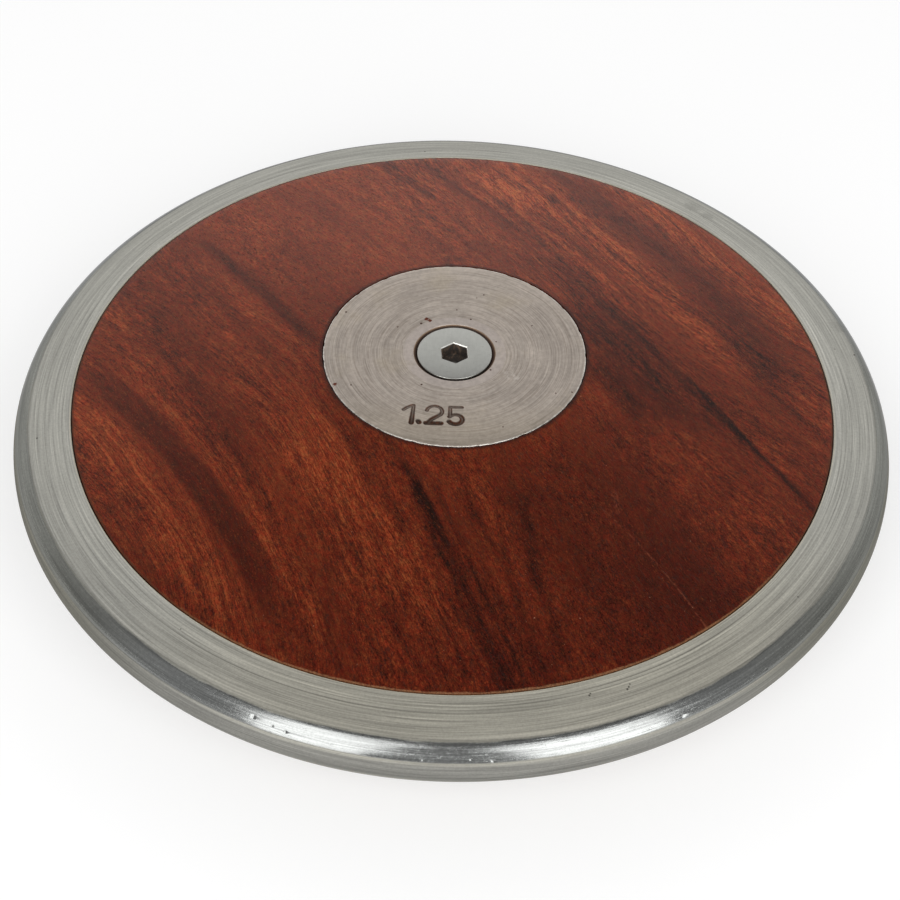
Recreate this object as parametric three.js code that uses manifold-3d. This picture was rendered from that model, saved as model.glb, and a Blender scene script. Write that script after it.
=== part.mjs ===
// A throwing discus of the 1.25 kg class. A turned steel rim carries two hardwood sides on its
// inner tongue, and two steel plates, set flush at the centre, clamp the sides together: a
// countersunk socket screw through each plate pulls on one long coupling nut inside. Thin steel
// washers round the nut bring the implement up to its weight.
// Millimetres, +Z up along the axis of spin, origin at the centre of the discus.

import * as THREE from 'three';
import { mergeVertices } from 'three/addons/utils/BufferGeometryUtils.js';
import Module from 'manifold-3d';

const wasm = await Module();
wasm.setup();

// Outer form: flat in the middle, straight flanks, and an edge that is a true circle in section
const OUTER_DIAMETER = 190;
const CENTRE_THICKNESS = 38;
const PLATE_DIAMETER = 56;
const EDGE_RADIUS = 6.25;

// Rim
const RIM_BAND_WIDTH = 13;
const TONGUE_THICKNESS = 3;
const TONGUE_DEPTH = 4;
const TONGUE_BEVEL = 0.6;

// Socket screws, one from each side
const HEAD_DIAMETER = 16;
const HEAD_CONE_ANGLE = THREE.MathUtils.degToRad(90);
const HEAD_LAND = 0.4;
const HEAD_RECESS = 0.12;
const THREAD_DIAMETER = 8;
const TIP_BEVEL = 0.8;
const TIP_SPACING = 5.3;
const SOCKET_ACROSS_FLATS = 5;
const SOCKET_DEPTH = 3;
const SOCKET_BEVEL = 0.2;
const SOCKET_POINT_DEPTH = 0.8;
const SOCKET_TURN = THREE.MathUtils.degToRad(6);

// Centre plates, under the screw heads
const PLATE_LAND = 0.48;
const PLATE_HOLE_GAP = 0.5;

// Coupling nut and trim washers
const NUT_ACROSS_FLATS = 13;
const NUT_CORNER_ANGLE = THREE.MathUtils.degToRad(30);
const NUT_END_GAP = 2;
const WASHER_DIAMETER = 30;
const WASHER_THICKNESS = 1;
const WASHER_COUNT = 3;

// The bevel along a turned edge, and the clearances: round what drops into a seat, between faces
// that bear on each other, and round the threads
const EDGE_BREAK = 0.3;
const FIT_GAP = 0.15;
const SEAT_GAP = 0.1;
const THREAD_GAP = 0.3;
const CUT_OVERRUN = 1;

// Facets round each turned piece, and steps round the edge's half circle
const LARGE_FACETS = 96;
const PLATE_FACETS = 72;
const CORE_FACETS = 48;
const SCREW_FACETS = 36;
const EDGE_STEPS = 14;

// Levels and radii that several pieces share
const halfThickness = CENTRE_THICKNESS / 2;
const plateRadius = PLATE_DIAMETER / 2;
const rimBoreRadius = OUTER_DIAMETER / 2 - RIM_BAND_WIDTH;
const tongueRadius = rimBoreRadius - TONGUE_DEPTH;
const tongueTop = TONGUE_THICKNESS / 2;
const headRadius = HEAD_DIAMETER / 2;
const threadRadius = THREAD_DIAMETER / 2;
const headTop = halfThickness - HEAD_RECESS;
const headConeTop = headTop - HEAD_LAND;
const headBottom = headConeTop - (headRadius - threadRadius) / Math.tan(HEAD_CONE_ANGLE / 2);
const plateUnderside = headBottom - PLATE_LAND;
const nutCornerRadius = cornerRadius(NUT_ACROSS_FLATS);
const coreBoreRadius = nutCornerRadius + FIT_GAP;
const washerRadius = WASHER_DIAMETER / 2;
const washerPitch = WASHER_THICKNESS + SEAT_GAP;

// The flank runs straight from the plate's edge until it is tangent to the edge circle.
const edgeCentreRadius = OUTER_DIAMETER / 2 - EDGE_RADIUS;
const flankRun = edgeCentreRadius - plateRadius;
const taper = Math.atan2(halfThickness, flankRun)
  - Math.asin(EDGE_RADIUS / Math.hypot(flankRun, halfThickness));

function flankHeight(radius) {
  return halfThickness - (radius - plateRadius) * Math.tan(taper);
}

function cornerRadius(acrossFlats) {
  return acrossFlats / 2 / Math.cos(Math.PI / 6);
}

const zincPlatedSteel = new THREE.MeshStandardMaterial({ color: 0xb4b6b1, metalness: 1, roughness: 0.38 });
const hardwood = new THREE.MeshStandardMaterial({ color: 0x5f2716, metalness: 0, roughness: 0.45 });
const turnedSteel = new THREE.MeshStandardMaterial({ color: 0xaea59a, metalness: 1, roughness: 0.5 });
const platedScrew = new THREE.MeshStandardMaterial({ color: 0xbcc1ba, metalness: 1, roughness: 0.3 });
const plainSteel = new THREE.MeshStandardMaterial({ color: 0x8d8f8e, metalness: 1, roughness: 0.5 });

// A section through these corners, each a radius and a height
function sectionThrough(corners) {
  const points = corners.map(([radius, height]) => new THREE.Vector2(radius, height));
  return new THREE.Path().setFromPoints(points);
}

function closedSection(corners) {
  const section = sectionThrough(corners);
  section.closePath();
  return section;
}

// Turns a section about the Z axis.
function revolve(section, facets, arcSteps) {
  return new THREE.LatheGeometry(section.getPoints(arcSteps), facets).rotateX(Math.PI / 2);
}

function toSolid(geometry) {
  const bare = new THREE.BufferGeometry();
  bare.setAttribute('position', geometry.getAttribute('position'));
  bare.setIndex(geometry.getIndex());
  const merged = mergeVertices(bare);
  return new wasm.Manifold(new wasm.Mesh({
    numProp: 3,
    vertProperties: merged.getAttribute('position').array,
    triVerts: new Uint32Array(merged.getIndex().array),
  }));
}

function toGeometry(solid) {
  const { vertProperties, triVerts } = solid.getMesh();
  const geometry = new THREE.BufferGeometry();
  geometry.setAttribute('position', new THREE.BufferAttribute(vertProperties, 3));
  geometry.setIndex(new THREE.BufferAttribute(triVerts, 1));
  geometry.computeVertexNormals();
  return geometry;
}

// A hexagonal prism, frustum or point that hangs down from a height, with a corner towards +Y
function hexagon(topAcrossFlats, bottomAcrossFlats, height, top) {
  const geometry = new THREE.CylinderGeometry(
    cornerRadius(topAcrossFlats), cornerRadius(bottomAcrossFlats), height, 6);
  return toSolid(geometry.rotateX(Math.PI / 2).translate(0, 0, top - height / 2));
}

// The rim: round edge, two flanks, and the tongue that the wooden sides straddle
function rimGeometry() {
  const arcEnd = Math.PI / 2 - taper;
  const brokenEdge = rimBoreRadius + EDGE_BREAK;
  const section = new THREE.Path();
  section.moveTo(tongueRadius, -tongueTop + TONGUE_BEVEL);
  section.lineTo(tongueRadius + TONGUE_BEVEL, -tongueTop);
  section.lineTo(rimBoreRadius, -tongueTop);
  section.lineTo(rimBoreRadius, -flankHeight(rimBoreRadius) + EDGE_BREAK);
  section.lineTo(brokenEdge, -flankHeight(brokenEdge));
  section.absarc(edgeCentreRadius, 0, EDGE_RADIUS, -arcEnd, arcEnd);
  section.lineTo(brokenEdge, flankHeight(brokenEdge));
  section.lineTo(rimBoreRadius, flankHeight(rimBoreRadius) - EDGE_BREAK);
  section.lineTo(rimBoreRadius, tongueTop);
  section.lineTo(tongueRadius + TONGUE_BEVEL, tongueTop);
  section.lineTo(tongueRadius, tongueTop - TONGUE_BEVEL);
  section.closePath();
  return revolve(section, LARGE_FACETS, EDGE_STEPS / 2);
}

// One wooden side: flank on top, a seat for the plate, a bore for the nut, half of the pocket for
// the washers underneath, and a rabbet that drops over the rim's tongue
function woodSideGeometry() {
  const bottom = SEAT_GAP / 2;
  const seatRadius = plateRadius + FIT_GAP;
  const seatHeight = plateUnderside - SEAT_GAP;
  const rimSide = rimBoreRadius - FIT_GAP;
  const rabbetRadius = tongueRadius - FIT_GAP;
  const rabbetHeight = tongueTop + SEAT_GAP;
  const pocketRadius = washerRadius + FIT_GAP;
  const pocketHeight = (WASHER_COUNT * washerPitch + SEAT_GAP) / 2;
  const section = closedSection([
    [pocketRadius, bottom],
    [rabbetRadius, bottom],
    [rabbetRadius, rabbetHeight],
    [rimSide, rabbetHeight],
    [rimSide, flankHeight(rimSide) - EDGE_BREAK],
    [rimSide - EDGE_BREAK, flankHeight(rimSide - EDGE_BREAK)],
    [seatRadius, flankHeight(seatRadius)],
    [seatRadius, seatHeight],
    [coreBoreRadius, seatHeight],
    [coreBoreRadius, pocketHeight],
    [pocketRadius, pocketHeight],
  ]);
  return revolve(section, LARGE_FACETS);
}

// A flush centre plate with a countersink as steep as the screw's head
function centrePlateGeometry() {
  const coneSlope = 1 / Math.tan(HEAD_CONE_ANGLE / 2);
  const holeRadius = threadRadius + PLATE_HOLE_GAP;
  const mouthRadius = headRadius + SEAT_GAP + (halfThickness - headConeTop) / coneSlope;
  const section = closedSection([
    [holeRadius, plateUnderside],
    [plateRadius, plateUnderside],
    [plateRadius, halfThickness - EDGE_BREAK],
    [plateRadius - EDGE_BREAK, halfThickness],
    [mouthRadius, halfThickness],
    [holeRadius, halfThickness - (mouthRadius - holeRadius) * coneSlope],
  ]);
  return revolve(section, PLATE_FACETS);
}

// A countersunk screw with its hexagon socket, lead-in bevel and drill point cut into the head
function socketScrewGeometry() {
  const tip = TIP_SPACING / 2;
  const blank = toSolid(revolve(sectionThrough([
    [0, tip],
    [threadRadius - TIP_BEVEL, tip],
    [threadRadius, tip + TIP_BEVEL],
    [threadRadius, headBottom],
    [headRadius, headConeTop],
    [headRadius, headTop],
    [0, headTop],
  ]), SCREW_FACETS));

  const cutTop = headTop + CUT_OVERRUN;
  const mouth = SOCKET_ACROSS_FLATS + 2 * (SOCKET_BEVEL + CUT_OVERRUN);
  const bevel = hexagon(mouth, SOCKET_ACROSS_FLATS, SOCKET_BEVEL + CUT_OVERRUN, cutTop);
  const walls = hexagon(SOCKET_ACROSS_FLATS, SOCKET_ACROSS_FLATS, SOCKET_DEPTH + CUT_OVERRUN, cutTop);
  const point = hexagon(SOCKET_ACROSS_FLATS, 0, SOCKET_POINT_DEPTH, headTop - SOCKET_DEPTH);
  return toGeometry(blank.subtract(bevel.add(walls).add(point)));
}

// The long hexagonal nut that both screws pull on, its corners bevelled at both ends
function couplingNutGeometry() {
  const end = plateUnderside - NUT_END_GAP;
  const flatRadius = NUT_ACROSS_FLATS / 2;
  const blankRadius = nutCornerRadius + CUT_OVERRUN;
  const bevelHeight = (blankRadius - flatRadius) * Math.tan(NUT_CORNER_ANGLE);
  const bevelled = toSolid(revolve(sectionThrough([
    [0, -end],
    [flatRadius, -end],
    [blankRadius, -end + bevelHeight],
    [blankRadius, end - bevelHeight],
    [flatRadius, end],
    [0, end],
  ]), CORE_FACETS));

  const boreRadius = threadRadius + THREAD_GAP;
  const boreEnd = end + CUT_OVERRUN;
  const bore = toSolid(revolve(sectionThrough([
    [0, -boreEnd],
    [boreRadius, -boreEnd],
    [boreRadius, boreEnd],
    [0, boreEnd],
  ]), CORE_FACETS));
  const prism = hexagon(NUT_ACROSS_FLATS, NUT_ACROSS_FLATS, 2 * end, end);
  return toGeometry(prism.intersect(bevelled).subtract(bore));
}

// A flat washer that slips over the nut
function trimWasherGeometry() {
  const section = closedSection([
    [coreBoreRadius, -WASHER_THICKNESS / 2],
    [washerRadius, -WASHER_THICKNESS / 2],
    [washerRadius, WASHER_THICKNESS / 2],
    [coreBoreRadius, WASHER_THICKNESS / 2],
  ]);
  return revolve(section, CORE_FACETS);
}

const discus = new THREE.Group();

function addPiece(name, geometry, material) {
  const piece = new THREE.Mesh(geometry, material);
  piece.name = name;
  discus.add(piece);
  return piece;
}

addPiece('steel_rim', rimGeometry(), zincPlatedSteel);
addPiece('coupling_nut', couplingNutGeometry(), plainSteel);

for (let i = 0; i < WASHER_COUNT; i += 1) {
  const washer = addPiece(`trim_washer_${i + 1}`, trimWasherGeometry(), plainSteel);
  washer.position.z = (i - (WASHER_COUNT - 1) / 2) * washerPitch;
}

// Both faces are alike: the lower pieces are the upper ones turned over about the X axis.
for (const [side, turn] of [['upper', 0], ['lower', Math.PI]]) {
  addPiece(`${side}_wood_side`, woodSideGeometry(), hardwood).rotation.x = turn;
  addPiece(`${side}_centre_plate`, centrePlateGeometry(), turnedSteel).rotation.x = turn;
  addPiece(`${side}_socket_screw`, socketScrewGeometry(), platedScrew).rotation.set(turn, 0, SOCKET_TURN);
}

export default discus;
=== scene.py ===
"""Looks of a throwing discus: turned steel rim, hardwood sides, stamped plate, screws, nut and washers.

Meshes are in metres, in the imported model's frame. Materials work on Object coordinates in millimetres.
"""

import math

import bmesh
import bpy
from bpy.props import FloatProperty, FloatVectorProperty, IntProperty, PointerProperty
from mathutils import Matrix, Vector
from mathutils.kdtree import KDTree


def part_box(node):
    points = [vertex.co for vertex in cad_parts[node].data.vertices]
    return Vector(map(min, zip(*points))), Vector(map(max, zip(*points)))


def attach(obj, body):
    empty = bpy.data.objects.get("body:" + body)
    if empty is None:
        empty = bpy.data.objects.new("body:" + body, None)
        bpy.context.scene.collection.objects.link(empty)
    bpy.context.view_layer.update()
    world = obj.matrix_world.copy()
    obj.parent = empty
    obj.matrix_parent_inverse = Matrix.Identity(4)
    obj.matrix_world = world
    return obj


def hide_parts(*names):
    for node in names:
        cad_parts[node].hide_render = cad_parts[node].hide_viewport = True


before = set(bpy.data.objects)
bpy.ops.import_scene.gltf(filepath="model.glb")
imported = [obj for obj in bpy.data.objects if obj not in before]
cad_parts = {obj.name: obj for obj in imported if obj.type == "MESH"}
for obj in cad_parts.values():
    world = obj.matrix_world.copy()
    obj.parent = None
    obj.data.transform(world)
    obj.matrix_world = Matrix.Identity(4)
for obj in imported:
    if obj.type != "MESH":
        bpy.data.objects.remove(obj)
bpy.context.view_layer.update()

bl_info = {
    "name": "Throwing Discus Looks",
    "version": (1, 0, 0),
    "blender": (4, 5, 0),
    "location": "3D View > Sidebar > Discus",
    "description": "Dresses the packed discus in turned steel, oiled hardwood and stamped plates",
    "category": "Object",
}

# The frame's own measures

BODY = "root"

MM = 0.001
FULL_TURN = 2 * math.pi
WELD = 0.001 * MM

OUTER_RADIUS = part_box("steel_rim")[1].x
PLATE_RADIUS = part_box("upper_centre_plate")[1].x
PLATE_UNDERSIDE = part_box("upper_centre_plate")[0].z
FACE_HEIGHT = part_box("upper_centre_plate")[1].z
SIDE_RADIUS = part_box("upper_wood_side")[1].x
SIDE_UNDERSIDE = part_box("upper_wood_side")[0].z
HEAD_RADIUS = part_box("upper_socket_screw")[1].x
HEAD_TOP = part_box("upper_socket_screw")[1].z
SCREW_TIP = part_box("upper_socket_screw")[0].z
NUT_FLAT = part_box("coupling_nut")[1].x
NUT_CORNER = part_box("coupling_nut")[1].y
NUT_HALF_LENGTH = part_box("coupling_nut")[1].z
WASHER_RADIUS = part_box("trim_washer_1")[1].x

# Measures inside the pieces, the same as in the part's source

EDGE_RADIUS = 6.25 * MM
RIM_BAND = 13 * MM
TONGUE_RADIUS = 78 * MM
TONGUE_HALF = 1.5 * MM
EDGE_BREAK = 0.3 * MM
POCKET_RADIUS = 15.15 * MM
POCKET_HEIGHT = 1.7 * MM
NUT_BORE_RADIUS = 7.656 * MM
PLATE_SEAT = 13.9 * MM
PLATE_SEAT_RADIUS = 28.15 * MM
RABBET_RADIUS = 77.85 * MM
RABBET_HEIGHT = 1.6 * MM
PLATE_HOLE_RADIUS = 4.5 * MM
HEAD_LAND = 0.4 * MM
SHANK_RADIUS = 4 * MM
SOCKET_DEPTH = 3 * MM
SOCKET_POINT = 0.8 * MM

# Measures inside the pieces that differ a little from the part's source; the first two are wider

COUNTERSINK_RADIUS = 8.74 * MM
SOCKET_CORNER = 3.15 * MM
WASHER_BORE = 7.65 * MM

# A spun hexagon starts at a corner, so its turn is 30 degrees more than that of the part's socket
SOCKET_TURN = math.radians(36)

# Measures that follow from these

EDGE_CENTRE = OUTER_RADIUS - EDGE_RADIUS
TAPER = math.atan2(FACE_HEIGHT, EDGE_CENTRE - PLATE_RADIUS) - math.asin(
    EDGE_RADIUS / math.hypot(EDGE_CENTRE - PLATE_RADIUS, FACE_HEIGHT)
)
BAND_INNER = OUTER_RADIUS - RIM_BAND
TANGENT_RADIUS = EDGE_CENTRE + EDGE_RADIUS * math.sin(TAPER)

# Marks of use and of making, in millimetres and degrees

# Grooves of the flank: middle from its inner edge, depth, width
RIM_GROOVES = (
    (1.0, 0.024, 0.11), (1.9, 0.036, 0.16), (2.6, 0.026, 0.12), (3.2, 0.022, 0.10), (3.9, 0.036, 0.15),
)
# Nicks of the round edge: azimuth, angle above the level, radius, depth
RIM_NICKS = (
    (-112.4, 45, 0.52, 0.10), (-110.0, 41, 0.40, 0.09), (-108.3, 38, 0.55, 0.11), (-92.4, 32, 0.50, 0.10),
    (-90.3, 39, 0.40, 0.08), (-86.6, 35, 0.45, 0.10), (-84.1, 31, 0.55, 0.11), (-61.2, 34, 0.42, 0.09),
    (-54.0, 57, 0.30, 0.05), (-48.5, 35, 0.36, 0.06), (-129.3, 44, 0.30, 0.05), (24.0, 28, 0.45, 0.08),
    (71.0, 12, 0.40, 0.07), (118.0, 35, 0.36, 0.07), (163.0, 20, 0.45, 0.08), (-20.0, 8, 0.40, 0.07),
    (-140.0, -25, 0.45, 0.08), (40.0, -38, 0.40, 0.07), (-75.0, -50, 0.36, 0.07), (150.0, -44, 0.45, 0.08),
)
# Stains of the flank: azimuth, radius, size
FLANK_MARKS = (
    (-66.2, 86.1, 0.30), (-65.9, 85.7, 0.26), (-65.6, 85.3, 0.22), (-71.2, 85.2, 0.26), (-71.0, 84.9, 0.22),
    (-169.0, 89.3, 0.26), (-127.0, 85.0, 0.20), (-38.0, 88.2, 0.22), (12.0, 86.8, 0.24), (25.0, 91.9, 0.40),
    (24.2, 91.5, 0.30), (16.0, 91.6, 0.36), (11.0, 91.1, 0.36), (96.0, 85.4, 0.24), (141.0, 87.6, 0.26),
)
FLANK_SMUDGES = ((50.0, 87.4, 2.6), (47.0, 87.2, 2.0), (17.0, 91.0, 2.4))
# Marks on the plates' faces: x, y, size
PLATE_PITS = (
    (-23.8, 11.7, 0.30), (-12.4, 7.4, 0.26), (-7.4, 8.8, 0.34), (0.2, 13.5, 0.22), (3.3, 10.6, 0.24),
    (4.5, 17.6, 0.20), (6.0, 18.7, 0.22), (16.5, 9.1, 0.24), (-6.7, -10.2, 0.30), (-21.4, -11.0, 0.26),
    (21.4, -11.5, 0.20), (24.8, -11.0, 0.24), (10.4, -21.9, 0.22), (7.7, -5.1, 0.30), (8.8, 3.7, 0.24),
)
PLATE_RUST = ((-6.3, 10.3, 0.62), (-5.6, 9.8, 0.55), (-24.8, -10.9, 0.60))
PLATE_SMEARS = ((12.0, -6.4, 1.3), (13.0, -7.4, 0.9), (11.0, -5.6, 0.8))


# Settings that a user may change


class RimSettings(bpy.types.PropertyGroup):
    """The turned steel rim."""

    steps: IntProperty(name="Steps", description="Facets round the rim", default=360, min=48)
    groove_wander: FloatProperty(
        name="Groove wander", description="How far a turning groove strays from its circle",
        default=0.22 * MM, unit="LENGTH",
    )
    flank_colour: FloatVectorProperty(
        name="Flank colour", description="Colour of the dull turned flank",
        default=(0.430, 0.423, 0.385), subtype="COLOR", size=3,
    )
    bead_colour: FloatVectorProperty(
        name="Edge colour", description="Colour of the polished round edge",
        default=(0.262, 0.268, 0.262), subtype="COLOR", size=3,
    )


class WoodSettings(bpy.types.PropertyGroup):
    """The two hardwood sides."""

    steps: IntProperty(name="Steps", description="Facets round a side", default=288, min=48)
    shrinkage: FloatProperty(
        name="Shrinkage", description="Uneven gap that the dried wood leaves inside the rim",
        default=0.05 * MM, unit="LENGTH",
    )
    grain_angle: FloatProperty(
        name="Grain angle", description="Direction of the grain on the upper side",
        default=math.radians(-55), subtype="ANGLE",
    )
    worn_colour: FloatVectorProperty(
        name="Worn edge colour", description="Colour of bare wood along the rim",
        default=(0.210, 0.100, 0.045), subtype="COLOR", size=3,
    )


class PlateSettings(bpy.types.PropertyGroup):
    """The two centre plates."""

    steps: IntProperty(name="Steps", description="Facets round a plate", default=360, min=48)
    stamp_depth: FloatProperty(
        name="Stamp depth", description="Depth of the stamped number at its heavy foot",
        default=0.34 * MM, unit="LENGTH",
    )
    stamp_grid: FloatProperty(
        name="Stamp grid", description="Mesh spacing inside the stamped patch",
        default=0.11 * MM, unit="LENGTH",
    )
    edge_dents: FloatProperty(
        name="Edge dents", description="Depth of the dents in the upper edge",
        default=0.14 * MM, unit="LENGTH",
    )
    colour: FloatVectorProperty(
        name="Colour", description="Colour of the faced steel",
        default=(0.410, 0.357, 0.311), subtype="COLOR", size=3,
    )


class FastenerSettings(bpy.types.PropertyGroup):
    """The screws, the coupling nut and the washers."""

    pitch: FloatProperty(name="Pitch", description="Thread pitch", default=1.25 * MM, unit="LENGTH")
    thread_steps: IntProperty(
        name="Thread steps", description="Facets in a turn of thread", default=36, min=12,
    )
    head_colour: FloatVectorProperty(
        name="Head colour", description="Colour of the plated screw",
        default=(0.392, 0.392, 0.366), subtype="COLOR", size=3,
    )
    core_colour: FloatVectorProperty(
        name="Core colour", description="Colour of the nut and the washers",
        default=(0.300, 0.285, 0.245), subtype="COLOR", size=3,
    )


class StageSettings(bpy.types.PropertyGroup):
    """Floor, lamps, world and camera."""

    floor_radius: FloatProperty(
        name="Floor radius", description="Radius of the floor", default=6.0, unit="LENGTH",
    )
    floor_colour: FloatProperty(name="Floor colour", description="Grey level of the floor", default=0.55)
    floor_glow: FloatProperty(
        name="Floor glow", description="White that camera and reflections see on the floor", default=0.50,
    )
    softbox_level: FloatProperty(name="Softbox level", description="Brightness of the softboxes", default=3.2)


# Mesh helpers


def smooth_share(value, start, stop):
    """0 before start, 1 after stop, and a smooth rise between them."""
    share = min(1.0, max(0.0, (value - start) / (stop - start)))
    return share * share * (3 - 2 * share)


def flank_height(radius):
    """Height of the straight flank at a radius."""
    return FACE_HEIGHT - (radius - PLATE_RADIUS) * math.tan(TAPER)


def arc(centre, radius, start, stop, steps):
    """Points of an arc in the plane of radius and height, from angle start to angle stop in degrees."""
    angles = [math.radians(start + (stop - start) * i / steps) for i in range(steps + 1)]
    return [(centre[0] + radius * math.cos(a), centre[1] + radius * math.sin(a)) for a in angles]


def spin_outline(outline, steps, closed=True):
    """A bmesh of an outline of (radius, height) points, spun once round the Z axis."""
    bm = bmesh.new()
    verts = [bm.verts.new((radius, 0.0, height)) for radius, height in outline]
    following = verts[1:] + verts[:1] if closed else verts[1:]
    edges = [bm.edges.new(pair) for pair in zip(verts, following)]
    bmesh.ops.spin(
        bm, geom=verts + edges, cent=(0, 0, 0), axis=(0, 0, 1), dvec=(0, 0, 0),
        angle=FULL_TURN, steps=steps, use_merge=True, use_duplicate=False,
    )
    bmesh.ops.remove_doubles(bm, verts=bm.verts, dist=WELD)
    bmesh.ops.recalc_face_normals(bm, faces=bm.faces)
    return bm


def mesh_object(name, bm):
    """Links a new object that holds the bmesh, and frees the bmesh."""
    mesh = bpy.data.meshes.new(name)
    bm.to_mesh(mesh)
    bm.free()
    piece = bpy.data.objects.new(name, mesh)
    bpy.context.scene.collection.objects.link(piece)
    return piece


def cut_out(piece, tool):
    """Cuts a throwaway tool out of a piece's mesh with an exact boolean."""
    modifier = piece.modifiers.new("cut out", "BOOLEAN")
    modifier.operation = "DIFFERENCE"
    modifier.solver = "EXACT"
    modifier.object = tool
    evaluated = piece.evaluated_get(bpy.context.evaluated_depsgraph_get())
    mesh = bpy.data.meshes.new_from_object(evaluated)
    piece.modifiers.clear()
    piece.data = mesh
    bpy.data.objects.remove(tool)


def finish_piece(piece, material, node, sharp=30):
    """Shades a piece, gives it its material and puts it in the place of its CAD node."""
    mesh = piece.data
    mesh.shade_smooth()
    mesh.set_sharp_from_angle(angle=math.radians(sharp))
    mesh.materials.clear()
    mesh.materials.append(material)
    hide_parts(node)
    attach(piece, BODY)


def rotate(bm, angle, axis):
    """Turns a whole bmesh about an axis through the origin."""
    bmesh.ops.rotate(bm, verts=bm.verts, cent=(0, 0, 0), matrix=Matrix.Rotation(angle, 3, axis))


def turn_over(bm):
    """Turns an upper piece's bmesh into its lower twin."""
    rotate(bm, math.pi, "X")


def draw_in(vert, scale):
    """Scales a point's distance from the Z axis."""
    vert.co.x *= scale
    vert.co.y *= scale


def pointing(azimuth, lift):
    """The direction at an azimuth and an angle above the level, in degrees."""
    around, up = math.radians(azimuth), math.radians(lift)
    return Vector((math.cos(around) * math.cos(up), math.sin(around) * math.cos(up), math.sin(up)))


# Node helpers


class Tree:
    """Adds nodes to one node tree, with plain numbers set on the sockets and sockets linked."""

    def __init__(self, node_tree):
        self.node_tree = node_tree
        node_tree.nodes.clear()

    def add(self, kind, inputs=None, **settings):
        node = self.node_tree.nodes.new(kind)
        for name, value in settings.items():
            setattr(node, name, value)
        for key, value in (inputs or {}).items():
            self.feed(node.inputs[key], value)
        return node

    def feed(self, socket, value):
        if isinstance(value, bpy.types.NodeSocket):
            self.node_tree.links.new(value, socket)
        elif socket.type == "RGBA":
            socket.default_value = (*value[:3], 1.0)
        else:
            socket.default_value = value

    def math(self, operation, *values, clamp=False):
        node = self.add("ShaderNodeMath", dict(enumerate(values)), operation=operation, use_clamp=clamp)
        return node.outputs[0]

    def fold(self, operation, values):
        """Joins several values in their order, two at a time."""
        result = values[0]
        for value in values[1:]:
            result = self.math(operation, result, value)
        return result

    def total(self, *values):
        return self.fold("ADD", values)

    def times(self, *values):
        return self.fold("MULTIPLY", values)

    def most(self, *values):
        return self.fold("MAXIMUM", values)

    def minus(self, value, other):
        return self.math("SUBTRACT", value, other)

    def inverse(self, value):
        return self.minus(1.0, value)

    def vector(self, operation, *values):
        node = self.add("ShaderNodeVectorMath", dict(enumerate(values)), operation=operation)
        return node.outputs["Value" if operation in ("LENGTH", "DISTANCE", "DOT_PRODUCT") else "Vector"]

    def split(self, vector):
        return self.add("ShaderNodeSeparateXYZ", {"Vector": vector}).outputs[:]

    def join(self, x=0.0, y=0.0, z=0.0):
        return self.add("ShaderNodeCombineXYZ", {"X": x, "Y": y, "Z": z}).outputs[0]

    def smooth(self, value, start, stop, low=0.0, high=1.0):
        inputs = {"Value": value, "From Min": start, "From Max": stop, "To Min": low, "To Max": high}
        return self.add("ShaderNodeMapRange", inputs, interpolation_type="SMOOTHSTEP").outputs[0]

    def noise(self, vector, stretch=None, detail=3.0, roughness=0.5, w=None):
        """Noise, with a fourth place if w is given; the stretch is one number or one for each axis."""
        if isinstance(stretch, float):
            stretch = (stretch,) * 3
        place = self.vector("MULTIPLY", vector, stretch) if stretch else vector
        inputs = {"Vector": place, "Scale": 1.0, "Detail": detail, "Roughness": roughness}
        if w is not None:
            inputs["W"] = w
        dimensions = "3D" if w is None else "4D"
        return self.add("ShaderNodeTexNoise", inputs, noise_dimensions=dimensions).outputs["Fac"]

    def swing(self, vector, stretch, detail, roughness):
        """Noise that strays about nought instead of about one half."""
        return self.minus(self.noise(vector, stretch, detail, roughness), 0.5)

    def attribute(self, name):
        return self.add("ShaderNodeAttribute", attribute_name=name).outputs["Fac"]

    def mix(self, share, first, second, blend="MIX"):
        inputs = {0: share, 6: first, 7: second}
        return self.add("ShaderNodeMix", inputs, data_type="RGBA", blend_type=blend).outputs[2]

    def blend_value(self, share, first, second):
        inputs = {0: share, 2: first, 3: second}
        return self.add("ShaderNodeMix", inputs, data_type="FLOAT").outputs[0]

    def ramp(self, value, stops):
        node = self.add("ShaderNodeValToRGB", {"Fac": value})
        elements = node.color_ramp.elements
        while len(elements) < len(stops):
            elements.new(0.5)
        for element, (place, colour) in zip(elements, stops):
            element.position = place
            element.color = (*colour, 1.0)
        return node.outputs["Color"]

    def tint(self, colour, value, depth):
        """A colour made lighter or darker by a value round 0.5."""
        level = self.total(1.0, self.times(self.minus(value, 0.5), depth))
        node = self.add("ShaderNodeVectorMath", {0: colour, "Scale": level}, operation="SCALE")
        return node.outputs["Vector"]

    def group(self, node_tree, inputs):
        return self.add("ShaderNodeGroup", inputs, node_tree=node_tree).outputs[0]

    def bump(self, height, distance, normal=None):
        inputs = {"Height": height, "Distance": distance}
        if normal is not None:
            inputs["Normal"] = normal
        return self.add("ShaderNodeBump", inputs).outputs["Normal"]


# Shared node groups

FLOAT = "NodeSocketFloat"
VECTOR = "NodeSocketVector"


def built_once(build):
    """Makes a builder return its node group by name, and build it only the first time."""

    def find():
        name = build.__name__.replace("_", " ")
        return bpy.data.node_groups.get(name) or build(name)

    return find


def new_group(name, inputs, output):
    """A new node group with named sockets: its tree, its input sockets and its output socket."""
    node_tree = bpy.data.node_groups.new(name, "ShaderNodeTree")
    for socket_name, kind in inputs.items():
        node_tree.interface.new_socket(socket_name, in_out="INPUT", socket_type=kind)
    node_tree.interface.new_socket(output, in_out="OUTPUT", socket_type=FLOAT)
    tree = Tree(node_tree)
    entry = tree.add("NodeGroupInput").outputs
    leave = tree.add("NodeGroupOutput").inputs[0]
    return tree, entry, leave


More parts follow.
